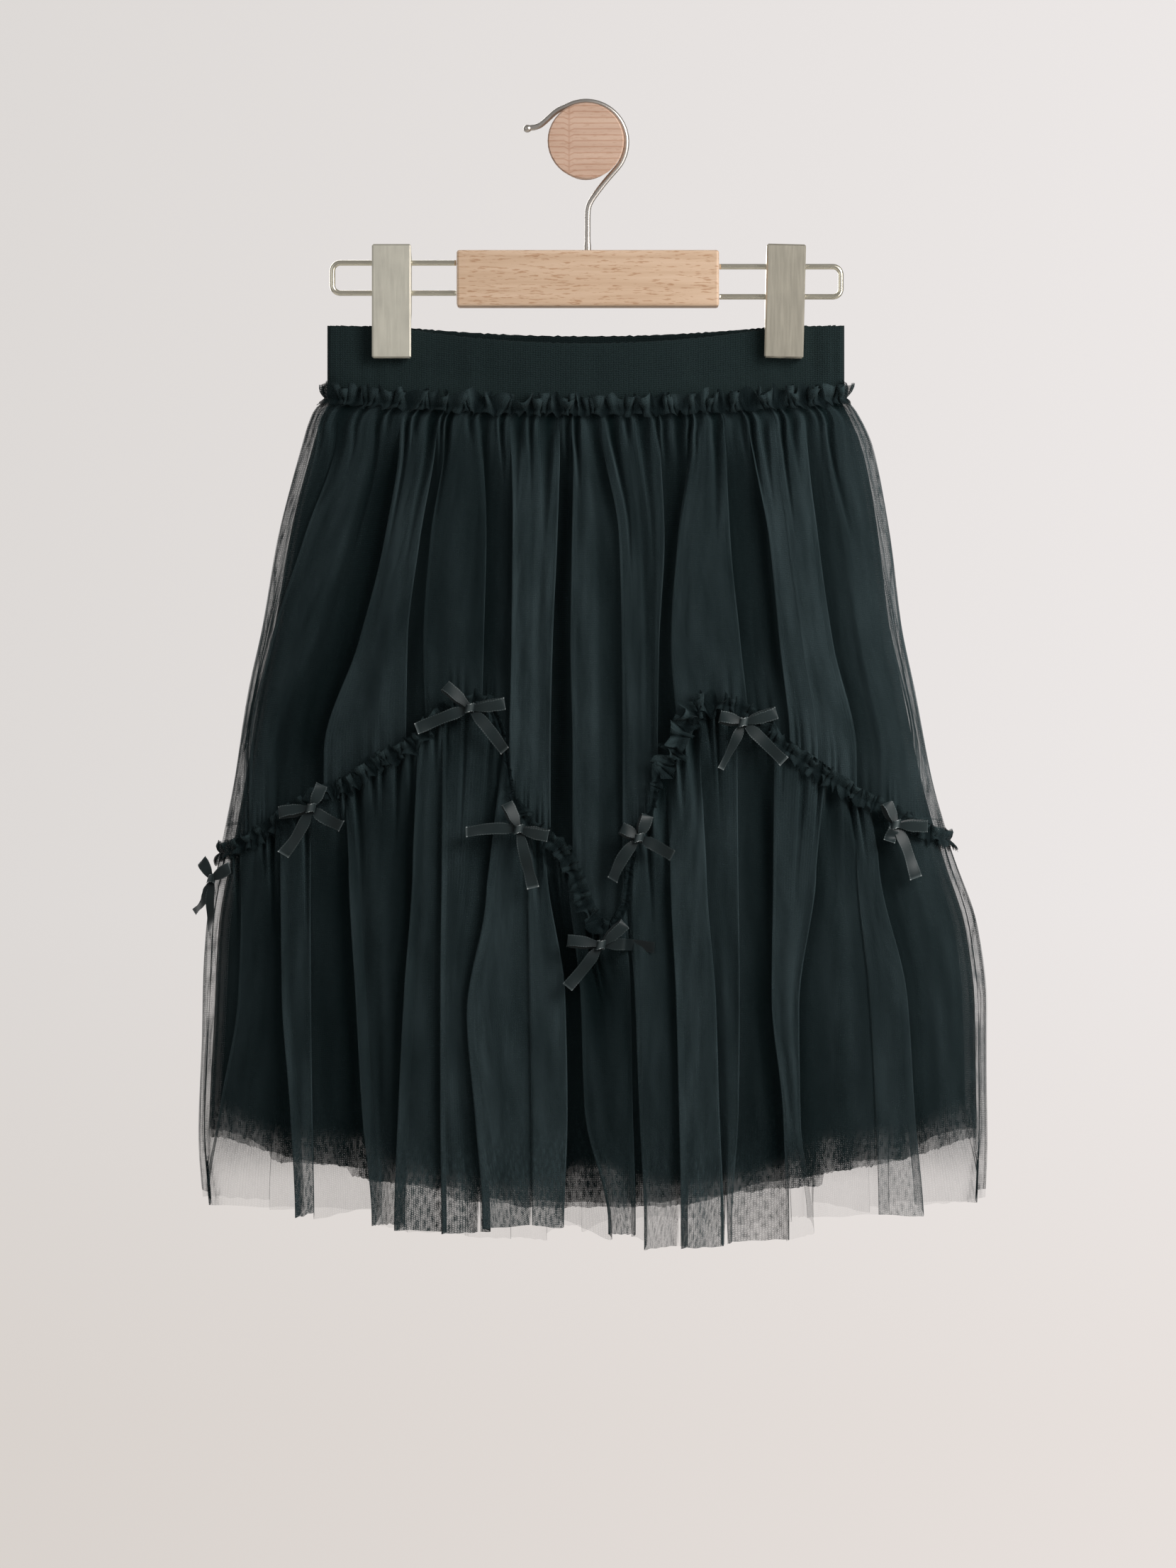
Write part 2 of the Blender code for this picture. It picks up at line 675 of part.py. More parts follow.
def panel_edges(column, side):
    """The heights of a column at the waist, the seam and the hem."""
    share, fold, kind = column
    seam_x = fold[1] if fold else read_table(SECTIONS, SEAM_END_Z, 2) * share
    hem_x = fold[2] if fold else read_table(SECTIONS, HEM_END_Z, 2) * share
    waist_x = fold[0] if fold else BAND_HALF * share
    if side == "back":
        seam_x, hem_x, waist_x = -seam_x, -hem_x, -waist_x
    waist_z = BAND_BOTTOM - GAP - band_sag(side, waist_x)
    seam_z = seam_height(side, seam_x)
    hem_z = hem_height(side, hem_x) + (HEM_LIFT if kind == "valley" else 0.0)
    steep = seam_height(side, seam_x + 0.5) - seam_height(side, seam_x - 0.5)
    half_gap = GAP / 2 * min(sqrt(1.0 + steep * steep), 3.0)
    return waist_z, seam_z, hem_z, half_gap


def panel_rows(side, levels, upper):
    columns = make_columns()
    rows = []
    for level in levels:
        row = []
        for column in columns:
            waist_z, seam_z, hem_z, half_gap = panel_edges(column, side)
            high = waist_z if upper else seam_z - half_gap
            low = seam_z + half_gap if upper else hem_z
            height = mix(high, low, level)
            share = column_share(column, side, height, seam_z, hem_z)
            if column[1] is None and side == "back":
                share = -share
            point, out = outline_point(side, share, height)
            fading = min(1.15 * roundness(share), 1.0)
            row.append(tuple(point - out * fold_depth(column, level, upper) * fading))
        rows.append(row)
    return rows


def make_panels():
    for side in ("front", "back"):
        wall("upper_" + side, panel_rows(side, (0.0, 0.05, 0.16, 0.38, 0.7, 1.0), True), NET_WALL, "net")
        wall("tier_" + side, panel_rows(side, (0.0, 0.1, 0.3, 0.62, 1.0), False), NET_WALL, "net")


def make_inner_layer(name, sizes, first_column, levels, look):
    """The underlayer or the lining: a plainer wall inside the outer net, with soft waves towards its hem."""
    columns = INNER_WAVES * 4
    for side in ("front", "back"):
        rows = []
        for level in levels:
            row = []
            for k in range(columns + 1):
                part = k / columns
                share = sin(pi * (part - 0.5))
                if side == "back":
                    share = -share
                wave = 0.5 - 0.5 * cos(2 * pi * INNER_WAVES * part)
                fade = 1.0 - abs(share) ** 3
                high = BAND_BOTTOM - GAP - band_sag(side, share * BAND_HALF)
                low = sizes["side_hem"] - sizes["drop"] * fade ** 0.8 + sizes["wave_drop"] * wave * fade
                height = mix(high, low, level)
                at = section_level(side, share, height)
                insets = [read_table(INNER_INSETS, at, first_column + c) for c in (0, 1)]
                point, out = outline_point(side, share, height, *insets)
                swing = INNER_SWING * wave * fade * smooth_step(-height, 200.0, 480.0)
                row.append(tuple(point - out * swing))
            rows.append(row)
        wall(name + "_" + side, rows, NET_WALL, look)


def band_half_depth(side, share, height):
    """Half the depth of the waistband, to its outer face: pinched under the clips, open elsewhere."""
    x = share * BAND_HALF
    inside_clips = 1.0 - smooth_step(abs(x), 20.0, CLIP_INNER_X)
    outside_clips = smooth_step(abs(x), CLIP_OUTER_X, CLIP_OUTER_X + 8.0)
    gripped = BAND_PINCH + (BAND_OPEN - BAND_PINCH) * inside_clips + 1.4 * outside_clips + BAND_WALL / 2
    from_end = BAND_HALF - abs(x)
    if from_end < BAND_END_R:
        gripped *= sqrt(max(1.0 - (1.0 - from_end / BAND_END_R) ** 2, 0.0))
    seam = read_table(SECTIONS, BAND_BOTTOM, 3 if side == "front" else 4) * roundness(share)
    return mix(gripped, seam, smooth_step(-height, -BAND_GRIP_Z, -BAND_BOTTOM))


def make_waistband():
    """One loop of elastic, run anticlockwise seen from above so that its inside is on the left."""
    shares = [-1.0, -0.998, -0.99, -0.965, -0.92, -0.86, -0.77, -0.66, -0.45, -0.22, 0.0]
    shares = shares + [-s for s in reversed(shares[:-1])]
    rows = []
    for level in (0.0, 0.47, 0.72, 1.0):
        row = []
        for side in ("front", "back"):
            run = shares if side == "front" else list(reversed(shares))
            for share in run[:-1]:
                x = share * BAND_HALF
                top = BAND_TOP - band_top_sag(side, x)
                depth = band_half_depth(side, share, mix(BAND_TOP, BAND_BOTTOM, level))
                height = mix(top, waist_seam_height(side, x), level)
                row.append((x, PLANE_Y + side_sign(side) * depth, height))
        row.append(row[0])
        rows.append(row)
    wall("waistband", rows, BAND_WALL, "elastic", closed=True)


def even_line(side, height_at, half, steps):
    """Points evenly spaced round one half of the skirt, as (share, point), along a line of given heights."""
    fine = 900
    shares = [sin(pi * (k / fine - 0.5)) for k in range(fine + 1)]
    if side == "back":
        shares.reverse()
    points = [outline_point(side, share, height_at(side, share * half))[0] for share in shares]
    run = [0.0]
    for first, second in zip(points, points[1:]):
        run.append(run[-1] + (second - first).length)
    line = []
    i = 0
    for k in range(steps + 1):
        goal = run[-1] * k / steps
        while i < fine - 1 and run[i + 1] < goal:
            i += 1
        t = (goal - run[i]) / (run[i + 1] - run[i])
        line.append((mix(shares[i], shares[i + 1], t), points[i].lerp(points[i + 1], t)))
    return line


def waist_seam_height(side, x):
    return BAND_BOTTOM - band_sag(side, x)


def make_waist_frill():
    """Ruffled heading that stands proud of the waist seam."""
    steps = WAIST_FRILL_WAVES * 4
    for side in ("front", "back"):
        line = even_line(side, waist_seam_height, BAND_HALF, steps)
        rows = []
        for rise, swing in ((WAIST_FRILL_ABOVE, 1.0), (-WAIST_FRILL_BELOW, 0.7)):
            row = []
            for k, (share, seam) in enumerate(line):
                wave = 0.5 - 0.5 * cos(2 * pi * WAIST_FRILL_WAVES * k / steps)
                point, out = outline_point(side, share, seam.z - WAIST_FRILL_BELOW - GAP)
                point += out * (NET_WALL + FRILL_CLEAR + FRILL_SWING * swing * wave)
                row.append((point.x, point.y, seam.z + rise))
            rows.append(row)
        wall("waist_frill_" + side, rows, NET_WALL, "net")


def make_tier_frill():
    """Ruffled heading of the tier, which follows the wavy seam."""
    steps = TIER_FRILL_WAVES * 4
    smoothing = 3
    for side in ("front", "back"):
        line = even_line(side, seam_height, 186.5, steps)
        rows, inner_rows = [], []
        for level in (1.0, -1.0):
            row, inner_row = [], []
            for k, (share, seam) in enumerate(line):
                before = line[max(k - smoothing, 0)][1]
                after = line[min(k + smoothing, steps)][1]
                out = outline_point(side, share, seam.z)[1]
                across = out.cross(after - before).normalized() * TIER_FRILL_HALF * level
                at = share + across.x * (share_at(1.0, seam.z) - share_at(0.0, seam.z))
                wave = 0.5 - 0.5 * cos(2 * pi * TIER_FRILL_WAVES * k / steps)
                point, out = outline_point(side, at, seam.z + across.z)
                lift = FRILL_CLEAR + FRILL_SWING * wave
                row.append(tuple(point + out * (lift + FRILL_WALL)))
                inner_row.append(tuple(point + out * lift))
            rows.append(row)
            inner_rows.append(inner_row)
        wall("tier_frill_" + side, rows, FRILL_WALL, "net", inner_rows=inner_rows)


def ribbon_arm(name, reach, start_lift, end_lift, thickness, width_share):
    """A flat strip from the knot to a tip, in the bow's own frame: across, outward, up."""
    length = hypot(*reach)
    along = Vector((reach[0] / length, 0.0, reach[1] / length))
    wide = Vector((-along.z, 0.0, along.x)) * RIBBON_WIDTH / 2
    points = []
    stations = ((0.0, 0.45), (0.35, 0.8), (1.0, width_share))
    for part, width in stations:
        lift = mix(start_lift, end_lift, part)
        for face in (0.0, thickness):
            for edge in (-1.0, 1.0):
                spot = along * length * part + wide * edge * width
                points.append((spot.x, -(lift + face), spot.z))
    faces = [(0, 1, 3, 2), (8, 10, 11, 9)]
    for k in (0, 4):
        faces += [
            (k, k + 4, k + 5, k + 1),
            (k + 2, k + 3, k + 7, k + 6),
            (k, k + 2, k + 6, k + 4),
            (k + 1, k + 5, k + 7, k + 3),
        ]
    made = add_mesh(name, points, faces, "ribbon", 30.0)
    finish_mesh(made)
    return made


def make_bow(name, side, x, height, foot, *reaches):
    """A tied ribbon: two loops, two tails and a knot, just clear of the frill."""
    share = share_at(x, height)
    point, out = outline_point(side, share, height)
    lift = NET_WALL + FRILL_CLEAR + FRILL_SWING + 2 * GAP
    knot = box(name, (-2.6, -3.6, -2.4), (2.6, foot, 2.4), "ribbon", 0.8)
    knot.modifiers["Bevel"].segments = 1
    arms = []
    for k, reach in enumerate(reaches):
        own = reach if side == "front" else (-reach[0], reach[1])
        loop = k < 2
        thickness = 2.0 if loop else RIBBON_WALL
        arms.append(ribbon_arm(name + "_arm_" + str(k), own, 0.3 * k, 0.3, thickness, 1.0))
    boolean(knot, "UNION", arms)
    holder = bpy.data.objects.new(name + "_place", None)
    bpy.context.scene.collection.objects.link(holder)
    turn = Vector((0.0, -1.0)).angle_signed(Vector((out.x, out.y)))
    reach = 12.0
    below = outline_point(side, share, height - reach)[0]
    above = outline_point(side, share, height + reach)[0]
    holder.location = (point + out * lift) * MM
    holder.rotation_euler = (-atan2((below - above).dot(out), 2 * reach), 0.0, -turn)
    for piece in (knot, *arms):
        piece.parent = holder


def main():
    clear_scene()
    make_peg()
    make_hook()
    make_bar()
    make_wire_loop("wire_loop_left", -130.1, BAR_LEFT, -69.0)
    make_wire_loop("wire_loop_right", 130.9, BAR_RIGHT, -70.9)
    make_clip("left", -98.5, -69.0, 0.0)
    make_clip("right", 101.0, -70.9, 1.4)
    make_waistband()
    make_waist_frill()
    make_panels()
    make_tier_frill()
    make_inner_layer("net_underlayer", UNDERLAYER, 1, (0.0, 0.03, 0.08, 0.2, 0.55, 1.0), "net")
    make_inner_layer("lining", LINING, 3, (0.0, 0.03, 0.08, 0.2, 0.55, 1.0), "lining")
    for bow in BOWS:
        make_bow(*bow)


main()
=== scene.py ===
"""Looks of the mesh skirt, its hanger and its peg: see-through nets, lining, elastic, satin bows and metal.

Sizes are in millimetres and become metres when a mesh is made. The tables repeat the model's own.
"""
from collections import namedtuple
from math import cos, hypot, pi, sin, sqrt

import bpy
import numpy as np
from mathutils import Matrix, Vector

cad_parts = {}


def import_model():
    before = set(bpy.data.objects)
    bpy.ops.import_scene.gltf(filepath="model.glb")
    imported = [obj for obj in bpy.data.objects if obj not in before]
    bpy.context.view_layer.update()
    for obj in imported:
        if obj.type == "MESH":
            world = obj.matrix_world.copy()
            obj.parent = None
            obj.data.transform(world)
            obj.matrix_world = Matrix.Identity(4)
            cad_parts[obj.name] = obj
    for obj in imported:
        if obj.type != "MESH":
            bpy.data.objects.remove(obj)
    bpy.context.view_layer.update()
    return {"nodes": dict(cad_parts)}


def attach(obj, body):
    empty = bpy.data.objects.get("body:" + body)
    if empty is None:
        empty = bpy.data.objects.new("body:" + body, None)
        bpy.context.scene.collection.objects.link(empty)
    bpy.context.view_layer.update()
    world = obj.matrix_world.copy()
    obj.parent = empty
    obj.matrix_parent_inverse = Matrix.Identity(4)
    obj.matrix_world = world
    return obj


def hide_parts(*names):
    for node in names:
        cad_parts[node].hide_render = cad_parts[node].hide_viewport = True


MM = 0.001

# Cross sections: the middle plane of the skirt, how square they are, where the waist's sag has faded out, and
# the gap left where two pieces meet
PLANE_Y = -38
SQUARENESS = 2.5
SAG_END_Z = -250
GAP = 0.3

# Half widths that the tables of the upper folds, the seam and the inner hems are written for
WAIST_TABLE_HALF = 139
TIER_SEAM_HALF = 186.5
HEM_HALF = 196

# Share of a panel's half width where its side line starts
SIDE_LINE = 0.985

# Waistband
BAND_WALL = 1.6
BAND_HALF = 131.3
BAND_TOP = -93.6
BAND_BOTTOM = -130
BAND_GRIP_Z = -111
BAND_PINCH = 1.15
BAND_OPEN = 5.4
BAND_END_R = 2.6
BAND_SAG = {"front": 6.8, "back": 4.2}
BAND_TOP_SAG = {"front": 8.9, "back": 4.6}
BAND_TOP_HALF = 98
CLIP_INNER_X = 86
CLIP_OUTER_X = 114

# Peg, hook and wires
PEG_LENGTH = 45
PEG_FRONT_R = 19.4
PEG_WALL_R = 15.4
BAR_LEFT = -65.5
BAR_RIGHT = 67.5
BAR_TOP = -55.3
HOOK_WIRE_R = 1.45
HOOK_BALL_R = 2.02
HOOK_BALL_X = -29.7
HOOK_BALL_Z = 6.9
COLLAR_R = 1.75
COLLAR_HEIGHT = 3.6
LOOP_WIRE_R = 1.4
LOOP_PITCH = 15.3
LOOP_CORNER_R = 4

# Frills: height and depth of the waist's, half width of the tier's, and how far both stand off the net
WAIST_FRILL_ABOVE = 8
WAIST_FRILL_BELOW = 3.2
TIER_FRILL_HALF = 5.2
FRILL_CLEAR = 1.2

# Bows: the ribbon, how far the knot stands off the net, and how far above and below it the net's lean is read
RIBBON_WIDTH = 6
PICOT_PITCH = 1.3
BOW_LIFT = 5.3
BOW_LEAN_REACH = 12

# Bows painted darker for a fold's shade, and two tails by their bow and their place among its reaches,
# counted from 0
SHADED_BOWS = (4, 5)
SLIPPED_TAIL = (4, 2)
NARROW_TAIL = (6, 2)

WHITE = (1, 1, 1)

SECTIONS = (
    # height, left, right, front, back
    (-124, -131.5, 131.5, 9.2, 8.6),
    (-131, -132.6, 132.4, 9.6, 9),
    (-136, -137.5, 136.5, 12, 10.5),
    (-156, -144.6, 146, 15.5, 13.5),
    (-198, -156, 154.5, 20, 17.5),
    (-245, -163.8, 160, 24, 21.5),
    (-280, -171.2, 167, 26.5, 22.5),
    (-325, -179, 176.5, 29, 24),
    (-362, -186, 187, 31, 25.5),
    (-400, -192.6, 199, 32.5, 27),
    (-440, -194.5, 203.6, 33.5, 29),
    (-500, -196.8, 204, 34, 31.5),
    (-560, -193, 202, 34, 33),
)

SEAM = (
    # x, height
    (-187.6, -361), (-172.4, -355.6), (-161.3, -347.3), (-143.6, -334.7), (-122.8, -325.4),
    (-107.6, -314.2), (-89.6, -304.5), (-80.3, -293.7), (-67.3, -285.4), (-58, -284),
    (-49.5, -288.5), (-44, -299), (-41, -312), (-37, -333), (-27.7, -347.3),
    (-14, -358.1), (-7.4, -369.5), (-2.4, -387.5), (7, -399), (16, -388.5),
    (20.6, -370.7), (26.4, -350.2), (34.6, -338.3), (39.6, -322), (49, -310.2),
    (55.5, -297), (62.5, -288), (74, -285.5), (90.4, -289.5), (100.5, -302),
    (117, -313.5), (131.8, -323.9), (144.7, -332.6), (160.9, -341.6), (177.1, -351.6),
    (187.6, -354.5),
)

INNER_INSETS = (
    # height, underlayer side, underlayer front and back, lining side, lining front and back
    (-131, 3.4, 3.2, 6.2, 5.4),
    (-140, 4.9, 5.6, 7.9, 8),
    (-150, 5.4, 7, 8.4, 9.6),
    (-160, 5.6, 8.2, 8.8, 11),
    (-198, 6.2, 9.8, 9.8, 12.8),
    (-280, 5.8, 10.4, 10.5, 13.4),
    (-362, 6, 11, 11.5, 14.4),
    (-440, 6, 13.8, 12, 17.4),
    (-560, 5, 14, 9.5, 18),
)

UNDERLAYER_HEM = (
    # x, height
    (-195.7, -501), (-165.4, -510.4), (-164, -516.6), (-135.2, -518.4), (-124.2, -519.6),
    (-122.8, -524), (-95.9, -528.4), (-73.5, -533), (-72.3, -535.6), (-54.5, -537),
    (-27.2, -539.9), (26.5, -539.2), (47, -538.5), (72.2, -532.7), (99.9, -529.8),
    (117.2, -528.8), (118.6, -522.6), (133, -520.6), (150, -517.4), (170.1, -512.4),
    (194.2, -505.5),
)

LINING_HEM = (
    # x, height
    (-195.7, -492.4), (-164, -505), (-122.6, -506.1), (-108.9, -517.2), (-93.8, -522.6),
    (-52.4, -529.5), (-25, -529.5), (-4.1, -520.1), (21.4, -523), (47.3, -529.1),
    (82.3, -520.1), (97.4, -518.3), (106.4, -509.3), (120.1, -506.9), (150, -499),
    (164, -489.5), (194.2, -487),
)

# Edges of the main folds. A lap is how far the cloth goes back behind the edge: above zero where the cloth on
# the left lies on top, below zero where the cloth on the right does, zero for a soft bend. The depths and the
# covers are those of the cloth to the right of the edge, from its left side to its right side.
# A fold's depths also set its painted shade: deeper cloth is painted darker.
TIER_LEVELS = (-363.5, -431.9, -489.5, -547.1)
TIER_FOLDS = (
    # x at the four levels, lap, depth left and right, cover, cover at hem, hem left and right
    (-192, -196, -198, -197, 0, 2, 3.5, 0.4, 0.3, -532, -538),
    (-174.4, -176.2, -185.9, -194.9, -1.4, 1, 5.5, 0.4, 0.12, -539, -539.6),
    (-154.6, -153.9, -149.6, -147.1, -4.3, 0.2, 1.8, 0.5, 0.76, -544.6, -542),
    (-139.1, -138.8, -138.1, -137, 1.2, 3, 7, 0.36, 0.17, -545.5, -539),
    (-120.1, -116.5, -113.2, -108.2, -5.6, 0.8, 4.5, 0.36, 0.62, -548, -547.6),
    (-87.7, -92, -94.9, -97, -6.4, 0.4, 2.6, 0.5, 0.78, -550.4, -551),
    (-72.9, -73.6, -73.6, -72.9, -3, 0.4, 3, 0.55, 0.78, -552.2, -551.4),
    (-50.5, -60.3, -56, -52.4, -5, 0, 1.2, 0.66, 0.76, -549.6, -547.6),
    (-29.3, -28.6, -27.5, -27.2, -0.7, 0, 0.6, 0.62, 0.76, -547.8, -549.2),
    (-19.6, -9.9, -8.8, -10.6, 5.2, 7, 6, 0.2, 0.2, -545, -555.6),
    (-9.5, -3.1, -0.9, 11, -2.6, 2.8, 3.6, 0.42, 0.66, -552.2, -552.6),
    (14.9, 22.9, 23.9, 25.4, 3, 6, 6, 0.12, 0.16, -554.3, -556),
    (20, 24.3, 26.5, 29, -2.4, 1, 4, 0.5, 0.52, -560.1, -558),
    (41.9, 44.8, 46.3, 47.3, -5, 0, 0.4, 0.6, 0.66, -559.4, -558.4),
    (61, 65.7, 67.5, 69.7, 1.8, 2, 1, 0.46, 0.72, -557.9, -556.6),
    (76.9, 77.6, 77, 73.5, 0.8, 2.2, 6, 0.34, 0.55, -556.2, -555.4),
    (94.1, 93.1, 98.8, 100.6, -2.9, 0.3, 0.3, 0.52, 0.08, -555.7, -552),
    (116.5, 107.8, 108.5, 115.4, 4, 3.6, 0.6, 0.42, 0.12, -544.6, -542.6),
    (136.3, 142.4, 145.6, 147.4, -1.4, 0.6, 0.2, 0.46, 0.5, -542.8, -544.2),
    (148.1, 162.5, 166.5, 171.2, 4.6, 3.4, 1, 0.4, 0.12, -538.4, -536.8),
    (166.9, 179.1, 186.7, 196.4, 0, 1, 0.4, 0.4, 0.16, -535.6, -531),
)

UPPER_LEVELS = (-143.9, -201.5, -255.5, -309.5)
UPPER_FOLDS = (
    # x at the four levels, lap, depth left and right, cover
    (-141, -154, -164, -174, 0, 1, 3, 0.4),
    (-126.9, -143.5, -160.7, -170.8, -1.4, 0.4, 2, 0.45),
    (-108.9, -119.9, -138.2, -157.9, 0, 4.5, 8, 0.28),
    (-94.9, -102.4, -115.7, -132.7, -3.4, 0.6, 0.9, 0.46),
    (-76.1, -83.7, -89.8, -90.5, 2.9, 5, 4.4, 0.15),
    (-71.8, -79.4, -82.6, -80.8, -2.2, 3.2, 2.8, 0.38),
    (-52.7, -50.2, -51.3, -52.4, 2.9, 5.5, 1.8, 0.3),
    (-38.3, -37.6, -38, -39.1, -3.4, 0, 0.2, 0.64),
    (-24, -24.6, -26, -27, 0, 0.9, 0.2, 0.58),
    (-13.1, -14.2, -16.4, -17.5, 3.6, 7, 7, 0.1),
    (-6.7, -7.4, -8.1, -7, -2.2, 0.4, 1.4, 0.5),
    (0.6, 5, 6, 6.4, 0, 2.8, 3.6, 0.42),
    (7.7, 16.4, 17.8, 18.2, -2, 0.8, 2.2, 0.42),
    (23, 28, 29.5, 29.5, 0, 2.8, 0.8, 0.4),
    (38, 40.1, 37.3, 36.5, 2.9, 6, 6, 0.15),
    (53.5, 46.3, 42.7, 46.3, -2.4, 1.2, 2.4, 0.46),
    (71.8, 73.6, 78.7, 83.3, 3, 5.6, 3.4, 0.24),
    (84.1, 92.3, 97.7, 102.8, -2.8, 0.3, 0.4, 0.55),
    (96.7, 102.1, 109.3, 116.5, -0.5, 0.3, 1.2, 0.6),
    (112.9, 118.3, 125.8, 137.3, 2.9, 4.6, 2.2, 0.3),
    (121.6, 130.4, 138.9, 149.4, 0, 1.4, 0.9, 0.5),
    (134.7, 148.1, 157.3, 166.3, 0, 0.8, 1.2, 0.38),
)

# Soft hollows in the tier: x, height, half width, half height, depth
# A hollow's depth also darkens the painted shade there.
HOLLOWS = (
    (5.5, -424, 7.5, 30, 4.6),
    (-88, -395, 5, 40, 1.4),
    (66, -455, 4, 60, 1),
)

# Wedges where the front hem stands open: x, half width, how far it reaches up
WEDGES = ((-53.8, 0.8, 24), (-27.4, 0.6, 20), (47, 0.9, 22), (70.6, 0.8, 26))

# Thin folds close to the outline: share, half width in shares, strength
SIDE_LINES = ((0.9978, 0.0014, 0.55), (0.988, 0.002, 0.4), (0.972, 0.0026, 0.35))

BOWS = (
    # side, knot x, knot height, loop, loop, tail, tail, for bow 1 and on
    ("front", -137.2, -338.3, (-16.6, -2.2), (5.4, 11.9), (15.8, -9), (-14, -23.4)),
    ("front", -58, -288, (-12.6, 11.5), (17.6, 2.5), (-27, -10.4), (17.6, -21.6)),
    ("front", -33.5, -348.8, (-6.1, 13.3), (14.8, -3.2), (-26.6, -1.4), (7.2, -29.5)),
    ("front", 7.6, -406.7, (-16.9, 2.2), (12.2, 10.8), (27, -1.4), (-16.9, -21.2)),
    ("front", 26.6, -353.1, (-9, 5), (4.3, 11.5), (16.9, -9), (-13.3, -21.2)),
    ("front", 78.8, -295.1, (-11.9, 2.9), (16.9, 5), (-11.5, -23.4), (20.5, -19.8)),
    ("front", 154.4, -346.6, (-4.3, 11.2), (16.9, -0.7), (10, -27), (-3.6, -8.5)),
    ("front", -184.3, -374.2, (-9.5, 9.6), (12, 6), (-11, -17), (2, -26.5)),
    ("back", 137.2, -338.3, (15.9, -3), (-6.4, 11.4), (-16.5, -8.4), (13, -23)),
    ("back", 58, -288, (12.4, 10.8), (-17, 3.1), (24, -12.4), (-16.6, -22)),
    ("back", -7.6, -406.7, (16.1, 3), (-12.8, 9.9), (-24, -5.4), (15.2, -22)),
    ("back", -78.8, -295.1, (12.3, 3.4), (-16, 5.6), (12.5, -22.6), (-19.5, -19)),
    ("back", -154.4, -346.6, (6.3, 11), (-15.9, 0.8), (-9, -26), (8.6, -17.5)),
)

# The hook's wire before and after its bend on the peg: x, height
HOOK_TIP = ((-28.2, 7.3), (-26.4, 7.4), (-23.9, 8.1), (-21.6, 9.7), (-18.2, 12.9), (-14.6, 16.2))
HOOK_STEM = ((10.6, -19), (6.6, -24.2), (3, -29), (1.4, -32.2), (0.9, -35.6), (0.9, -42))


# Number helpers

def mix(a, b, share):
    return a + (b - a) * share


def ease(value, low, high):
    """Soft step from 0 at low to 1 at high."""
    share = np.clip((np.asarray(value, float) - low) / (high - low), 0, 1)
    return share * share * (3 - 2 * share)


def read_table(rows, keys, column):
    """Smooth reading of a table whose first column runs steadily up or down, for an array of keys."""
    table = np.array([(row[0], row[column]) for row in rows], float)
    if table[-1, 0] < table[0, 0]:
        table = table[::-1]
    x, y = table.T
    rise = np.diff(y) / np.diff(x)
    before, after = rise[:-1], rise[1:]
    agree = before * after > 0
    total = np.where(agree, before + after, 1)
    slope = np.concatenate([[0], np.where(agree, 2 * before * after / total, 0), [0]])
    keys = np.clip(keys, x[0], x[-1])
    i = np.clip(np.searchsorted(x, keys, side="right") - 1, 0, len(x) - 2)
    width = x[i + 1] - x[i]
    t = (keys - x[i]) / width
    ends = y[i] * (1 + 2 * t) * (1 - t) ** 2 + y[i + 1] * t * t * (3 - 2 * t)
    return ends + width * t * (1 - t) * (slope[i] * (1 - t) - slope[i + 1] * t)


def wander(t, waves, seed):
    """Soft irregular curve between about -1 and 1, with a given number of waves over t from 0 to 1."""
    chance = np.random.default_rng(seed)
    total = 0
    for _ in range(5):
        pitch = waves * chance.uniform(0.55, 1.45)
        total = total + np.sin(2 * pi * (pitch * t + chance.uniform(0, 1))) / sqrt(5)
    return total


def spline_weights(count, places):
    """How much each of the control points adds to a smooth curve at places from 0 to 1 along it."""
    padded = np.concatenate([[0, 0], np.arange(count), [count - 1, count - 1]])
    at = np.asarray(places) * (len(padded) - 3.0001)
    i = at.astype(int)
    t = at - i
    parts = ((1 - t) ** 3, 3 * t**3 - 6 * t**2 + 4, -3 * t**3 + 3 * t**2 + 3 * t + 1, t**3)
    weights = np.zeros((len(at), count))
    for k, part in enumerate(parts):
        np.add.at(weights, (np.arange(len(at)), padded[i + k]), part / 6)
    return weights


def arc_length(points):
    """Distance run along each row of points."""
    steps = np.linalg.norm(np.diff(points, axis=-2), axis=-1)
    return np.concatenate([np.zeros(steps.shape[:-1] + (1,)), np.cumsum(steps, axis=-1)], axis=-1)


def unit_rows(vectors):
    return vectors / np.linalg.norm(vectors, axis=1)[:, None]


# Form of the skirt

def side_sign(side):
    return -1 if side == "front" else 1


def sag(x, most, half):
    return most * np.maximum(1 - (x / half) ** 2, 0)


def waist_seam_height(side, x):
    return BAND_BOTTOM - sag(x, BAND_SAG[side], BAND_HALF)


def roundness(share):
    """How far forward the squared oval stands: 1 in its middle, 0 at its sides."""
    return np.maximum(1 - np.abs(share) ** SQUARENESS, 0) ** (1 / SQUARENESS)


def section_level(side, share, height):
    """Height at which the tables are read, with the waist's sag taken out."""
    fading = 1 - ease(-height, -BAND_BOTTOM, -SAG_END_Z)
    return height + sag(share * BAND_HALF, BAND_SAG[side], BAND_HALF) * fading


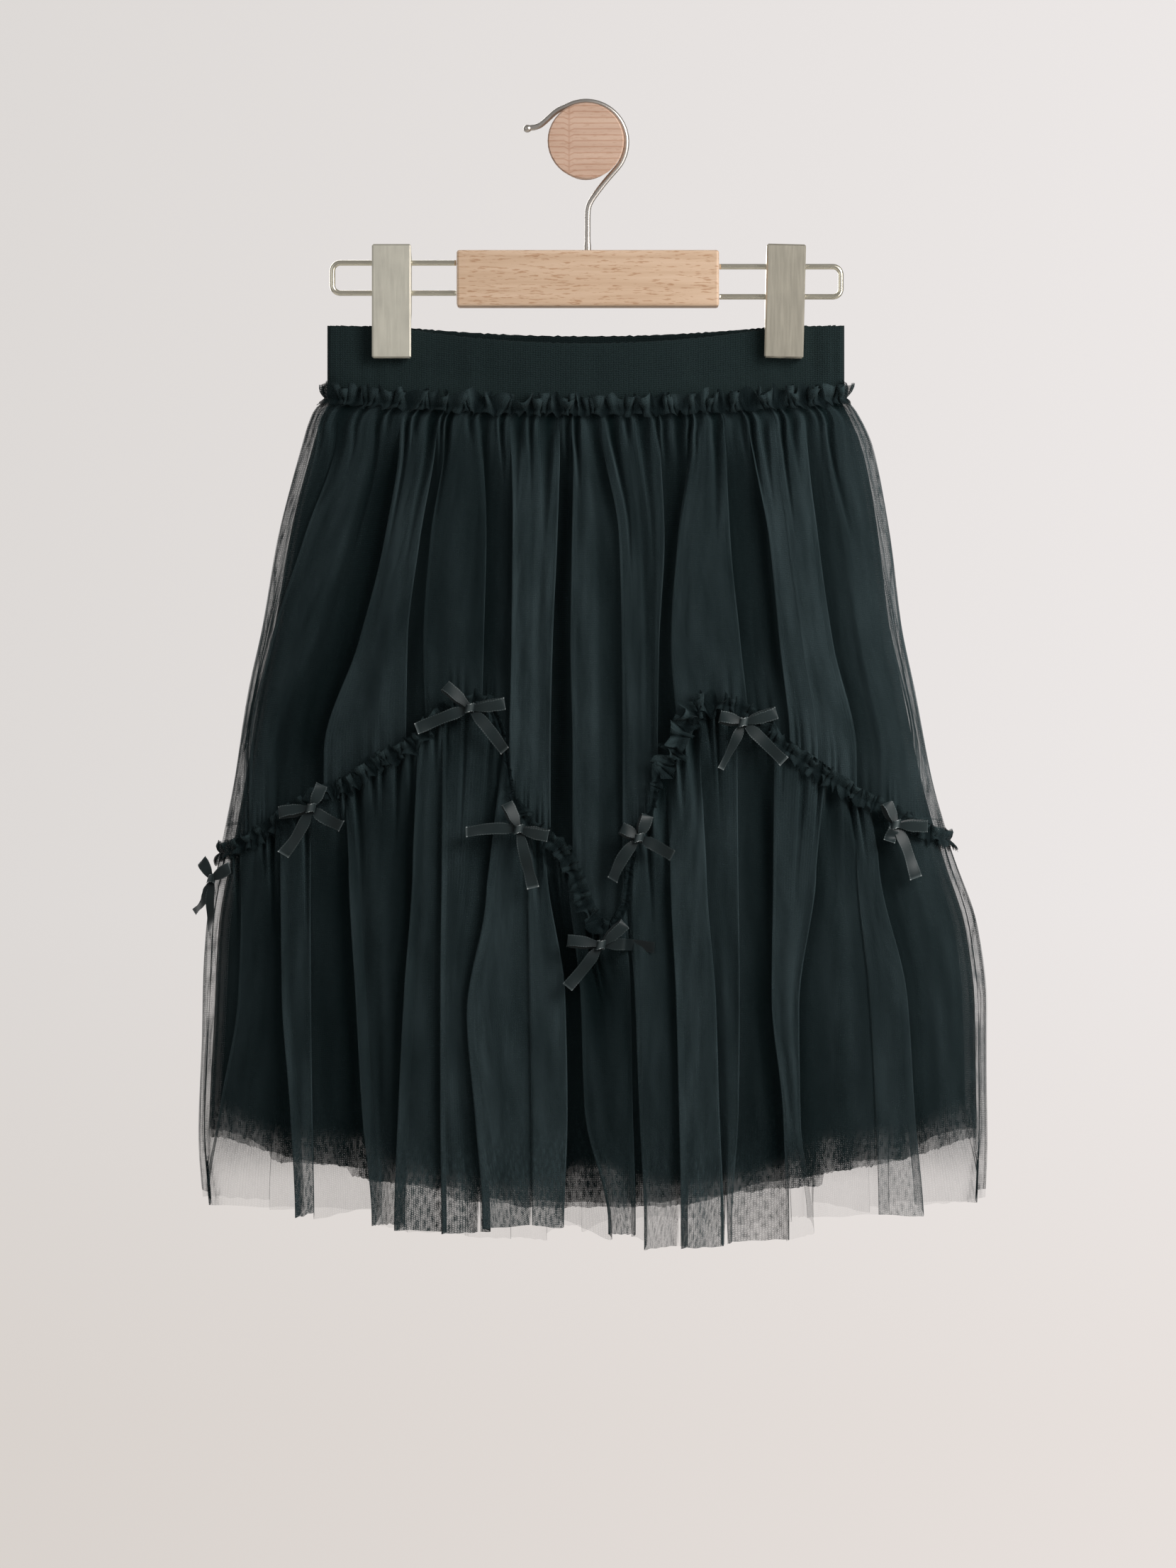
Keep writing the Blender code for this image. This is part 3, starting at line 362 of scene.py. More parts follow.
def outline_point(side, share, height, side_inset=0, depth_inset=0):
    """Points of the skirt's outer face and its outward directions, for arrays of shares and heights."""
    share, height = np.broadcast_arrays(np.clip(share, -1, 1), np.asarray(height, float))
    level = section_level(side, share, height)
    left = read_table(SECTIONS, level, 1) + side_inset
    right = read_table(SECTIONS, level, 2) - side_inset
    depth = read_table(SECTIONS, level, 3 if side == "front" else 4) - depth_inset
    half, middle = (right - left) / 2, (right + left) / 2
    rise = roundness(share)
    sign = side_sign(side)
    point = np.stack([middle + half * share, PLANE_Y + sign * (GAP / 2 + depth * rise), height], axis=-1)
    out_x = np.abs(share) ** (SQUARENESS - 1) / half * np.sign(share)
    out_y = sign * rise ** (SQUARENESS - 1) / depth
    length = np.hypot(out_x, out_y)
    return point, np.stack([out_x / length, out_y / length, np.zeros_like(out_x)], axis=-1)


def share_at(x, height):
    """Place between the two outlines at a height: -1 at the left one, 1 at the right one."""
    left, right = read_table(SECTIONS, height, 1), read_table(SECTIONS, height, 2)
    return (x - (left + right) / 2) / ((right - left) / 2)


def seam_height(side, x):
    """Height of the tier's seam. The back mirrors the front and meets it at the sides."""
    x = np.asarray(x, float)
    if side == "front":
        return read_table(SEAM, x, 1)
    return mix(read_table(SEAM, -x, 1), read_table(SEAM, x, 1), ease(np.abs(x), 150, 184))


# Meshes

def grid_faces(rows, columns, closed=False):
    """Four-sided faces of a grid of points. A closed one joins each row's ends."""
    across = columns if closed else columns - 1
    j, k = np.meshgrid(np.arange(rows - 1), np.arange(across), indexing="ij")
    a = j * columns + k
    b = j * columns + (k + 1) % columns
    return np.stack([a, a + columns, b + columns, b], axis=-1).reshape(-1, 4)


def add_object(name, data):
    made = bpy.data.objects.new(name, data)
    bpy.context.scene.collection.objects.link(made)
    return made


def add_mesh(name, points, faces, look, uv=None, **values):
    """A named piece that rides on the one body, from points in millimetres."""
    mesh = bpy.data.meshes.new(name)
    faces = faces.tolist() if isinstance(faces, np.ndarray) else faces
    mesh.from_pydata((np.asarray(points).reshape(-1, 3) * MM).tolist(), [], faces)
    mesh.shade_smooth()
    if uv is not None:
        corner = np.zeros(len(mesh.loops), int)
        mesh.loops.foreach_get("vertex_index", corner)
        mesh.uv_layers.new(name="cloth").data.foreach_set("uv", uv.reshape(-1, 2)[corner].ravel())
    for key, value in values.items():
        wide = np.broadcast_to(value, np.asarray(points).shape[:-1]).astype(float)
        mesh.attributes.new(key, "FLOAT", "POINT").data.foreach_set("value", wide.ravel())
    mesh.materials.append(look)
    made = add_object(name, mesh)
    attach(made, "root")
    return made


def stand_in(piece, node_name):
    """Hides the model's solid that a piece stands for."""
    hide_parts(node_name)


def steep_cover(cover, points, out):
    """Net that turns away from the skirt's outward direction closes up, as its threads line up."""
    normal = np.cross(np.gradient(points, axis=1), np.gradient(points, axis=0))
    normal = normal / np.maximum(np.linalg.norm(normal, axis=-1), 1e-9)[..., None]
    facing = np.abs((normal * out).sum(axis=-1))
    return 1 - (1 - cover) ** (1 / np.maximum(facing, 0.3))


def cloth_map(points, row):
    """Uv in millimetres of cloth: along one row of the grid, and down each column."""
    across = np.broadcast_to(arc_length(points)[row], points.shape[:2])
    return np.stack([across, arc_length(points.transpose(1, 0, 2)).T], axis=-1)


def add_sheet(name, points, look, **values):
    """A grid of points as one surface, with a uv map in millimetres of cloth."""
    faces, uv = grid_faces(*points.shape[:2]), cloth_map(points, int(len(points) * 0.6))
    return add_mesh(name, points, faces, look, uv, **values)


# Nodes of materials

def set_inputs(node, values):
    """Plain values are set, and outputs of other nodes are joined."""
    for key, value in values.items():
        if isinstance(value, bpy.types.NodeSocket):
            node.id_data.links.new(value, node.inputs[key])
        else:
            node.inputs[key].default_value = value


def add_node(tree, kind, values=None, **settings):
    made = tree.nodes.new("ShaderNode" + kind)
    for key, value in settings.items():
        setattr(made, key, value)
    set_inputs(made, values or {})
    return made


def calculate(operation, first, second=0):
    return add_node(first.id_data, "Math", {0: first, 1: second}, operation=operation).outputs[0]


def times(first, *others):
    for other in others:
        first = calculate("MULTIPLY", first, other)
    return first


def plus(first, *others):
    for other in others:
        first = calculate("ADD", first, other)
    return first


def multiplied(first, second):
    """One colour times another."""
    values = {"Factor": 1, "A": first, "B": second}
    return add_node(first.id_data, "Mix", values, data_type="RGBA", blend_type="MULTIPLY").outputs["Result"]


def split(vector):
    parts = add_node(vector.id_data, "SeparateXYZ", {"Vector": vector}).outputs
    return parts["X"], parts["Y"], parts["Z"]


def stretched(vector, scale):
    return add_node(vector.id_data, "Mapping", {"Vector": vector, "Scale": scale}).outputs["Vector"]


def noise(vector, scale, detail=3):
    """Cloudy noise whose scale is given for each axis."""
    values = {"Vector": stretched(vector, scale), "Scale": 1, "Detail": detail}
    return add_node(vector.id_data, "TexNoise", values).outputs["Fac"]


def waves(vector, direction, scale, distortion, detail_scale=1):
    values = {"Vector": vector, "Scale": scale, "Distortion": distortion, "Detail": 2,
              "Detail Scale": detail_scale}
    return add_node(vector.id_data, "TexWave", values, bands_direction=direction).outputs["Fac"]


def ramp(factor, *stops):
    """Colours between stops of (position, colour)."""
    made = add_node(factor.id_data, "ValToRGB", {"Fac": factor})
    elements = made.color_ramp.elements
    while len(elements) < len(stops):
        elements.new(0.5)
    for element, (place, colour) in zip(elements, stops):
        element.position = place
        element.color = (*colour, 1)
    return made.outputs["Color"]


def spread(factor, low, high, from_low=0.3, from_high=0.7):
    """A number map from one range onto another."""
    values = {"Value": factor, "From Min": from_low, "From Max": from_high, "To Min": low, "To Max": high}
    return add_node(factor.id_data, "MapRange", values).outputs["Result"]


def clamped(value):
    return add_node(value.id_data, "Clamp", {"Value": value}).outputs["Result"]


def bump(height, distance, strength):
    values = {"Height": height, "Distance": distance, "Strength": strength}
    return add_node(height.id_data, "Bump", values).outputs["Normal"]


def attribute(tree, name):
    return add_node(tree, "Attribute", attribute_name=name).outputs["Fac"]


def cloth_uv(tree):
    return add_node(tree, "UVMap", uv_map="cloth").outputs["UV"]


def mesh_weave(uv, pitch, thread):
    """Knitted net: 1 on the threads, 0 in the holes."""
    values = {"Vector": uv, "Scale": 1 / pitch, "Randomness": 0.35}
    cells = add_node(uv.id_data, "TexVoronoi", values, feature="DISTANCE_TO_EDGE")
    return spread(cells.outputs["Distance"], 1, 0, 0, thread)


def slanted_waves(uv, slope):
    """One of the two families of slanted lines that layered nets show."""
    return waves(stretched(uv, (1, slope, 1)), "DIAGONAL", 0.17, 4.5, 0.9)


# Materials

def new_material(name):
    made = bpy.data.materials.new(name)
    made.use_nodes = True
    return made, made.node_tree


def shaded(made, **values):
    """Sets the shader's inputs, whose names are written with _ between their words."""
    names = {key: "Specular IOR Level" if key == "Specular" else key.replace("_", " ") for key in values}
    set_inputs(made.node_tree.nodes["Principled BSDF"], {names[key]: value for key, value in values.items()})
    return made


def net_material(name, dark, light):
    """Sheer knitted net. Its attributes: cover is how close the cloth is, crest is painted shade and
    highlight, darker where the cloth lies deep in the folds, and open how much light comes through from
    behind."""
    made, tree = new_material(name)
    uv = cloth_uv(tree)
    cover, crest, lit_behind = (attribute(tree, key) for key in ("cover", "crest", "open"))
    clouds = noise(uv, (0.1, 0.022, 1))
    mottle = spread(noise(uv, (0.62, 0.42, 1)), -0.15, 0.15)
    moire = spread(times(slanted_waves(uv, 0.4), slanted_waves(uv, -0.28)), -0.11, 0.2, 0, 1)
    pattern = plus(times(mottle, lit_behind), times(moire, lit_behind), spread(clouds, 0.88, 1.12))
    weave = spread(mesh_weave(uv, 0.95, 0.3), 0.72, 1.36, 0, 1)
    # Painted shade and highlight: crest, times soft clouds, picks the colour between dark and light.
    colour = ramp(times(crest, spread(clouds, 0.64, 1.2)), (0, dark), (1, light))
    creases = bump(noise(uv, (0.2, 0.05, 1)), 0.003, 0.34)
    return shaded(made, Base_Color=colour, Alpha=clamped(times(cover, weave, pattern)), Roughness=0.8,
                  Specular=0.06, Sheen_Weight=0.02, Normal=creases)


def lining_material():
    made, tree = new_material("lining_cloth")
    uv = cloth_uv(tree)
    fringe = spread(noise(uv, (1.7, 0.4, 1), 4), 0.82, 1.18)
    stops = ((0.3, (0.0014, 0.0026, 0.0028)), (0.7, (0.0026, 0.0044, 0.0046)))
    colour = ramp(noise(uv, (0.05, 0.01, 1), 2), *stops)
    alpha = clamped(times(attribute(tree, "cover"), fringe))
    threads = bump(noise(uv, (2.2, 0.5, 1), 2), 0.0003, 0.5)
    return shaded(made, Base_Color=colour, Alpha=alpha, Roughness=0.9, Specular=0, Normal=threads)


def elastic_material():
    made, tree = new_material("ribbed_elastic")
    uv = cloth_uv(tree)
    knit = plus(times(waves(uv, "X", 0.5, 0.8), 0.7), times(waves(uv, "Y", 0.28, 1.2), 0.5),
                times(noise(uv, (1.4, 1.4, 1)), 0.6))
    # The shade attribute darkens the knit: painted shade on the band's inner face, and darker at its two
    # ends.
    knit = times(knit, attribute(tree, "shade"))
    stops = ((0, (0.001, 0.0022, 0.0024)), (0.25, (0.005, 0.0098, 0.0104)), (1, (0.0156, 0.027, 0.028)))
    return shaded(made, Base_Color=ramp(knit, *stops), Roughness=0.85, Specular=0.06, Sheen_Weight=0.02,
                  Normal=bump(knit, 0.0006, 0.7))


def ribbon_material():
    """Satin with a row of picot dots along both edges. Its uv runs from -3 to 3 across the ribbon."""
    made, tree = new_material("satin_ribbon")
    uv = cloth_uv(tree)
    across, along, _ = split(uv)
    edge = spread(calculate("ABSOLUTE", across), 0, 1, 2.35, 2.7)
    dots = spread(calculate("SINE", times(along, 2 * pi / PICOT_PITCH)), 0.25, 1, -0.6, 0.6)
    raised = plus(times(edge, dots), times(noise(uv, (5, 0.5, 1), 2), 0.2))
    # Painted shade and highlight: the shade attribute darkens the ribbon near its knot and lights its folded
    # tips and cut ends.
    light = times(plus(times(raised, 0.3), 0.275), attribute(tree, "shade"))
    stops = ((0, (0.0024, 0.005, 0.006)), (0.3, (0.0125, 0.0205, 0.022)), (0.62, (0.062, 0.078, 0.08)),
             (1, (0.36, 0.39, 0.39)))
    return shaded(made, Base_Color=ramp(light, *stops), Roughness=0.42, Specular=0.22, Sheen_Weight=0.02,
                  Normal=bump(raised, 0.0002, 0.4))


def growth_lines(place):
    """Thin darker growth lines across the peg's end, and one ray line down it where they dip."""
    x, _, z = split(place)
    from_ray = calculate("ABSOLUTE", plus(x, 0.0085))
    dipped = plus(z, spread(from_ray, 0.0013, 0, 0, 0.0026))
    at = add_node(place.id_data, "CombineXYZ", {"X": x, "Z": dipped}).outputs["Vector"]
    rings = spread(waves(at, "Z", 106, 1.4, 0.4), 0, 1, 0, 0.22)
    lines = times(rings, spread(from_ray, 0.35, 1, 0.0002, 0.0008))
    return ramp(lines, (0, (0.84, 0.74, 0.68)), (1, WHITE))


def wood_material(name, end_grain):
    made, tree = new_material(name)
    place = add_node(tree, "TexCoord").outputs["Object"]
    if end_grain:
        grain = noise(place, (18, 40, 160))
        flecks, fleck_colour = noise(place, (260, 120, 1500), 2), (0.9, 0.85, 0.81)
        colours = ((0.52, 0.345, 0.253), (0.56, 0.38, 0.285), (0.6, 0.42, 0.317))
    else:
        grain = noise(place, (14, 150, 330), 5)
        flecks, fleck_colour = noise(place, (190, 900, 1500), 2), (0.74, 0.62, 0.52)
        colours = ((0.535, 0.362, 0.24), (0.6, 0.422, 0.29), (0.645, 0.466, 0.333))
    colour = ramp(grain, *zip((0.3, 0.5, 0.7), colours))
    if end_grain:
        colour = multiplied(colour, growth_lines(place))
    colour = multiplied(colour, ramp(flecks, (0.33, fleck_colour), (0.43, WHITE)))
    gloss = spread(grain, 0.42, 0.6)
    return shaded(made, Base_Color=colour, Roughness=gloss, Normal=bump(flecks, 0.0002, 0.4))


def metal_material(name, colour, roughness, brushed):
    made, tree = new_material(name)
    place = add_node(tree, "TexCoord").outputs["Object"]
    worn = ramp(noise(place, (90, 90, 90)), (0.3, tuple(0.93 * c for c in colour)), (0.65, colour))
    gloss = spread(noise(place, brushed), roughness * 0.92, roughness * 1.1)
    return shaded(made, Base_Color=worn, Metallic=1, Roughness=gloss)


# Net panels

Fold = namedtuple("Fold", "x lap left right cover hem_cover hem_left hem_right")


def read_folds(rows):
    """Folds of a table. Rows of the upper net say nothing about a hem."""
    return [Fold(row[:4], *row[4:8], *(row[8:] or (0, 0, 0))) for row in rows]


def edge_x(fold, levels, heights):
    """Where a fold edge runs, carried on in a straight line above its table."""
    found = read_table(tuple(zip(levels, fold.x)), heights, 1)
    lean = (fold.x[1] - fold.x[0]) / (levels[1] - levels[0])
    return found + np.maximum(heights - levels[0], 0) * lean * 0.8


def fold_controls(folds, levels, heights, depths, laps):
    """Control points across a panel for each row: x, depth and hem height. Then the places among them where
    each fold's cloth starts, and where the crisp edges are.

    heights, depths and laps are (rows, folds): where each edge is read, and how far the folds are grown."""
    columns, starts, edges = [], [], []
    for k, fold in enumerate(folds):
        previous = folds[max(k - 1, 0)]
        x = edge_x(fold, levels, heights[:, k])
        grown = depths[:, k]
        lap = fold.lap * laps[:, k]
        own, other = fold.left * grown, previous.right * grown
        behind = np.maximum(own, other) + 2.6 * np.minimum(np.abs(lap) / 3, 1)
        middle = (np.minimum(own, other) + behind) / 2
        hem, left_hem = fold.hem_left, previous.hem_right
        starts.append(len(columns) + (1.5 if fold.lap else 0))
        if fold.lap:
            on_top, way, edge = (other, -1, 1) if fold.lap > 0 else (own, 1, 3)
            edges.append(len(columns) + edge)
            turned = [(x + way * 0.6, on_top), (x, on_top + 0.5), (x - lap * 0.4, middle), (x - lap, behind),
                      (x - lap * 0.8, behind)][::-way]
            columns += [(*place, low) for place, low in zip(turned, (left_hem, left_hem, hem, hem, hem))]
        else:
            columns.append((x, own, hem))
        if k + 1 == len(folds):
            break
        following = folds[k + 1]
        next_x = edge_x(following, levels, heights[:, k])
        under_left = (1.6 if fold.lap > 0 else 0.5) * grown
        under_right = (1.6 if following.lap < 0 else 0.5) * grown
        for part in (0.16, 0.33, 0.5, 0.67, 0.84):
            round_off = under_left * (1 - part) ** 2.2 + under_right * part**2.2
            columns.append((mix(x, next_x, part), mix(own, fold.right * grown, part) + round_off,
                            mix(hem, fold.hem_right, part)))
    curves = [np.stack([value + 0 * x for value in values], axis=1) for values in zip(*columns)]
    return curves, starts, edges


def cell_values(values, starts, control):
    """A value for each fold, changing over quickly where one fold's cloth ends and the next starts."""
    total = np.full(len(control), float(values[0]))
    for start, before, after in zip(starts[1:], values, values[1:]):
        total += (after - before) * ease(control, start - 0.4, start + 0.4)
    return total


def even_places(x, depth, count):
    """Places along the panel's curve that are about evenly spaced, both at its top and across its folds, and
    closer at its two sides."""
    fine = np.linspace(0, 1, 3000)
    weights = spline_weights(x.shape[1], fine)
    run = 0
    for row in (0, int(len(x) * 0.55)):
        run = run + arc_length(np.stack([weights @ x[row], weights @ depth[row]], axis=-1))
    part = run / run[-1]
    run = part + 0.035 * (ease(part, 0, 0.02) + ease(part, 0.98, 1))
    return np.interp(np.linspace(0, run[-1], count), run, fine)


def grow_folds(side, upper, tops, lows, heights):
    """How far the depths and the laps of the folds are grown at each height."""
    fall = tops - heights
    if upper:
        laps = ease(fall, 8, 55) * (1 - 0.4 * ease(heights - lows, 40, 5))
        depths = ease(fall, 6, 48) * mix(1, 0.5, ease(lows - heights, -35, -4))
    else:
        laps = ease(fall, 4, 60)
        depths = ease(fall, 4, 50)
    if side == "back":
        laps = laps * mix(0.45, 0.08, ease(-heights, 470, 520))
    return depths, laps


def spread_folds(side, upper, level, columns):
    """The folds of a panel on its columns: x, depth and hem height in each row, cover here and at the hem,
    and how near each column is to a crisp edge, where a highlight is painted."""
    levels = UPPER_LEVELS if upper else TIER_LEVELS
    folds = read_folds(UPPER_FOLDS if upper else TIER_FOLDS)
    at_top, at_low = (np.array([fold.x[k] for fold in folds]) for k in (0, 3))
    if upper:
        tops, lows = waist_seam_height("front", at_top), read_table(SEAM, at_low, 1)
    else:
        tops, lows = read_table(SEAM, at_top, 1), np.array([fold.hem_left for fold in folds])
    heights = mix(tops, lows, level)
    grown = grow_folds(side, upper, tops, lows, heights)
    curves, starts, edges = fold_controls(folds, levels, heights, *grown)
    count = curves[0].shape[1]
    places = even_places(*curves[:2], columns)
    control = places * (count + 0.9999) - 1
    hem_covers = [fold.hem_cover if side == "front" else 0.12 for fold in folds]
    covers = [cell_values(values, starts, control) for values in ([fold.cover for fold in folds], hem_covers)]
    weights = spline_weights(count, places)
    painted_edge_highlight = sum(np.exp(-((control - edge) / 0.7) ** 2) for edge in edges)
    return [values @ weights.T for values in curves], covers, painted_edge_highlight


def panel_share(t, x, height, fall, upper):
    """Shares of the panel's points, drawn onto the waist at its top and onto the outline at its two sides."""
    share = share_at(x, height)
    side_line = ease(np.abs(2 * t - 1), SIDE_LINE, 1)
    share = mix(np.clip(share, -SIDE_LINE, SIDE_LINE), np.sign(share), side_line)
    if not upper:
        return share
    waist_share = np.clip(x[:1] / WAIST_TABLE_HALF, -1, 1)
    waist_share = mix(waist_share, np.sign(waist_share), side_line)
    return mix(waist_share, share, ease(fall, 0, 14))


def gathers(t, fall, number, longest, seed):
    """Narrow gaps between gathers: how deep they go, and the slide of the cloth into them."""
    phase = 2 * pi * (number * t + 0.4 * wander(t, number * 0.45, seed))
    reach = longest * np.clip(0.4 + 0.34 * wander(t, number * 0.7, seed + 1), 0.14, 1)
    fading = np.clip(1 - (fall - 4) / reach, 0, 1) ** 1.3
    size = np.clip(5.4 + 3.4 * wander(t, number * 0.8, seed + 2), 1, 9)
    pinch = (0.5 + 0.5 * np.cos(phase)) ** mix(1.5, 3, ease(fall, 0, 40))
    return size * pinch * fading, np.sin(phase) * fading


def side_lines(share, height, seed):
    """Thin folds that run down close to the outline, where the net is seen edge on."""
    total = 0
    for k, (place, half_wide, strength) in enumerate(SIDE_LINES):
        drift = 0.005 * k * wander(height / 160, 3, seed + k)
        total = total + strength * np.exp(-((np.abs(share) - place - drift) / half_wide) ** 2)
    return total


def panel_cover(upper, covers, x, share, height, fall):
    """How close the net's cloth is: by fold, closer at its gathers, and in thin lines at its two sides."""
    cover, hem_cover = covers
    if not upper:
        cover = mix(cover, hem_cover, ease(-height, 500, 530))
    cover = cover + 0.35 * (1 - ease(fall, 3, 34)) * (1 - cover)
    at_sides = ease(np.abs(share), 0.94, 0.99)
    side_cover = 0.62 if upper else np.where(x < 0, 0.48, 0.2)
    cover = np.clip(mix(cover, side_cover, at_sides * 0.8), 0.05, 0.95)
    return np.clip(cover + (side_lines(share, height, 60 + upper) - 0.08) * at_sides, 0.05, 0.95)


def open_wedges(cover, x, height, low):
    """Narrow gaps between folds that reach up from the front hem."""
    for x_at, half_wide, reach in WEDGES:
        open_half = half_wide * np.clip(1 - (height - low) / reach, 0, 1)
        edge = ease(np.abs(x - x_at), open_half - 0.3, open_half + 0.3)
        cover = np.where(open_half > 0.05, cover * edge, cover)
    return cover


def uneven_depth(upper, depth, x, t, height, fall, low):
    """Depth with gathers, hollows and ripples added, and how far the cloth slides into its gathers."""
    small, slide = gathers(t, fall, 34, 100, 7) if upper else gathers(t, fall, 40, 84, 17)
    if upper:
        near_seam = 1 - ease(height - low, 1, 24)
        small = small + 1.6 * near_seam * (1 - np.abs(np.sin(pi * 70 * t + wander(t, 30, 19))))
    else:
        for x_at, z_at, half_wide, half_high, deep in HOLLOWS:
            depth = depth + deep * np.exp(-((x - x_at) / half_wide) ** 2 - ((height - z_at) / half_high) ** 2)
    ripple = 0.22 * wander(t + 0.002 * np.sin(height / 37), 34, 11) * ease(fall, 10, 60)
    ripple = ripple + 0.5 * wander(t + 0.0003 * height, 17, 27) * ease(fall, 20, 80)
    return depth + 0.5 + small + ripple, slide


def held_back(side, share, height, depth):
    """Depth that levels off before it reaches the underlayer."""
    room = read_table(INNER_INSETS, section_level(side, share, height), 2) - 1.3
    limit = 0.55 * room
    return np.where(depth > limit, limit + (room - limit) * np.tanh((depth - limit) / (room - limit)), depth)


def make_panel(name, side, upper, look):
    """The upper net panel or the tier, with its main folds where the picture shows them."""
    rows, columns, bunching = (48, 680, 1.25) if upper else (46, 760, 1.15)
    mirror = -side_sign(side)
    level = np.linspace(0, 1, rows)[:, None] ** bunching
    (x, depth, hem), covers, painted_edge_highlight = spread_folds(side, upper, level, columns)
    t = (x[:1] - x[0, 0]) / (x[0, -1] - x[0, 0])
    if upper:
        top = waist_seam_height(side, np.clip(x[:1] * 1.02, -BAND_HALF, BAND_HALF)) - GAP
        low = seam_height(side, mirror * x[-1:])
    else:
        top = seam_height(side, mirror * x[:1])
        low = hem[-1:] + 0.3 * wander(t, 45, 3)
    height = mix(top, low, level)
    fall = top - height
    depth, slide = uneven_depth(upper, depth, x, t, height, fall, low)
    share = mirror * (panel_share(t, x, height, fall, upper) + 0.002 * slide)
    # Painted shade and highlight: crest darkens the cloth where it lies deep and near its top; a highlight is
    # painted on fold edges.
    shaded_top, lit_from = (0.64, 48) if upper else (0.7, 75)
    crest = np.clip(1 - (depth - 0.5) / 7, 0, 1)
    crest = crest * mix(shaded_top, 1, ease(fall, 8, lit_from))
    crest = crest + 0.3 * painted_edge_highlight * ease(fall, 10, 40) * (0.7 + 0.5 * wander(height / 500, 7, 15))
    point, out = outline_point(side, share, height)
    behind = held_back(side, share, height, depth) * np.minimum(1.15 * roundness(share), 1)
    point = point - out * behind[..., None]
    at_sides = ease(np.abs(share), 0.94, 0.99)
    crinkle = wander(t * 40, 5, 12) * np.sin(height / 23 + 3 * wander(t * 9, 3, 13))
    point = point + out * (0.5 * crinkle * at_sides)[..., None]
    cover = steep_cover(panel_cover(upper, covers, x, share, height, fall), point, out)
    if side == "front" and not upper:
        cover = open_wedges(cover, x, height, low)
    seen_through = 0.4 * at_sides
    if not upper:
        low_down = ease(-height, 490, 522) * mix(0.3, 1, ease(cover, 0.16, 0.5))
        seen_through = np.maximum(seen_through, low_down)
    return add_sheet(name, point, look, cover=cover, crest=crest, open=seen_through)


def make_inner(name, side, look, insets, hem_rows, swing, waves, seed, cover=None):
    """The net underlayer or the lining. Its insets are in two neighbouring columns of their table."""
    rows, columns = 40, 400
    level = np.linspace(0, 1, rows)[:, None]
    t = np.linspace(0, 1, columns)[None, :]
    turned = np.sin(pi * (t - 0.5)) * np.ones_like(level)
    share = -side_sign(side) * turned
    low = read_table(hem_rows, turned[:1] * HEM_HALF, 1) + 0.4 * wander(t, 40, seed)
    if cover:
        low = low + 0.3 * wander(t, 150, seed + 1)
    top = waist_seam_height(side, share[:1] * BAND_HALF) - GAP
    height = mix(top, low, level)
    at = section_level(side, share, height)
    inset = [read_table(INNER_INSETS, at, insets + c) for c in (0, 1)]
    point, out = outline_point(side, share, height, *inset)
    grown = (1 - np.abs(share) ** 3) * ease(-height, 170, 460)
    wave = 0.5 + 0.5 * np.sin(2 * pi * (waves * t + 0.5 * wander(t, 6, seed + 2)))
    point = point - out * (swing * wave * grown)[..., None]
    point[..., 0] -= side_sign(side) * 1.4 * np.cos(2 * pi * waves * t) * grown
    from_hem = height - low
    if cover:
        thin = mix(0.9, cover, ease(-height, 335, 385)) * (1 + 0.2 * wander(t, 22, seed + 5))
        thin = thin * mix(0.84, 1.04, ease(from_hem, 0.5, 9 + 4 * wander(t, 26, seed + 7)))
    else:
        thin = mix(0.4, 1.3, ease(from_hem, 0, 5 + 2 * wander(t, 34, seed + 6)))
    # Painted shade: the inner layers are painted darker in the valleys of their waves.
    return add_sheet(name, point, look, cover=np.clip(thin, 0, 2), crest=1 - 0.5 * wave * grown,
                     open=ease(-height, 470, 500))


def make_skirt(looks):
    for side in ("front", "back"):
        tier = make_panel("tier_net_" + side, side, False, looks["net"])
        stand_in(tier, "tier_" + side)
        upper = make_panel("upper_net_" + side, side, True, looks["net"])
        stand_in(upper, "upper_" + side)
        under = make_inner("underlayer_net_" + side, side, looks["under"], 1, UNDERLAYER_HEM, 4, 9, 30, 0.76)
        stand_in(under, "net_underlayer_" + side)
        lining = make_inner("lining_cloth_" + side, side, looks["lining"], 3, LINING_HEM, 3.6, 6, 40)
        stand_in(lining, "lining_" + side)


# Frills

def even_line(side, height_at, half, steps):
    """Shares, points and run, evenly spaced round one half of the skirt along a line of given heights."""
    share = -side_sign(side) * np.sin(pi * (np.linspace(0, 1, 4000) - 0.5))
    point = outline_point(side, share, height_at(side, share * half))[0]
    run = arc_length(point)
    goal = np.linspace(0, run[-1], steps)
    line = np.stack([np.interp(goal, run, values) for values in point.T], axis=-1)
    return np.interp(goal, run, share), line, goal


def ruffle(t, count, seed):
    """Loops of a gathered heading: how far each point swings out and slides along, and how its loop leans."""
    phase = 2 * pi * (count * t + 0.5 * wander(t, count * 0.45, seed))
    size = np.clip(0.85 + 0.5 * wander(t, count * 0.6, seed + 1), 0.25, 1.5)
    size = size * mix(0.55, 1, ease(np.minimum(t, 1 - t), 0, 0.02))
    return np.sin(phase / 2) ** 2 * size, -np.sin(phase) * size, wander(t, count * 0.5, seed + 2)


def seam_liveliness(x):
    """The tier's frill is calm on the steep drop, flat under the upper net and wide by the right peak."""
    calm = mix(0.35, 1, ease(np.abs(x + 41), 4, 9))
    hidden = ease(x, 9, 14) * (1 - ease(x, 32, 41))
    return (calm + 0.7 * np.exp(-((x - 48) / 9) ** 2)) * (1 - 0.62 * hidden)


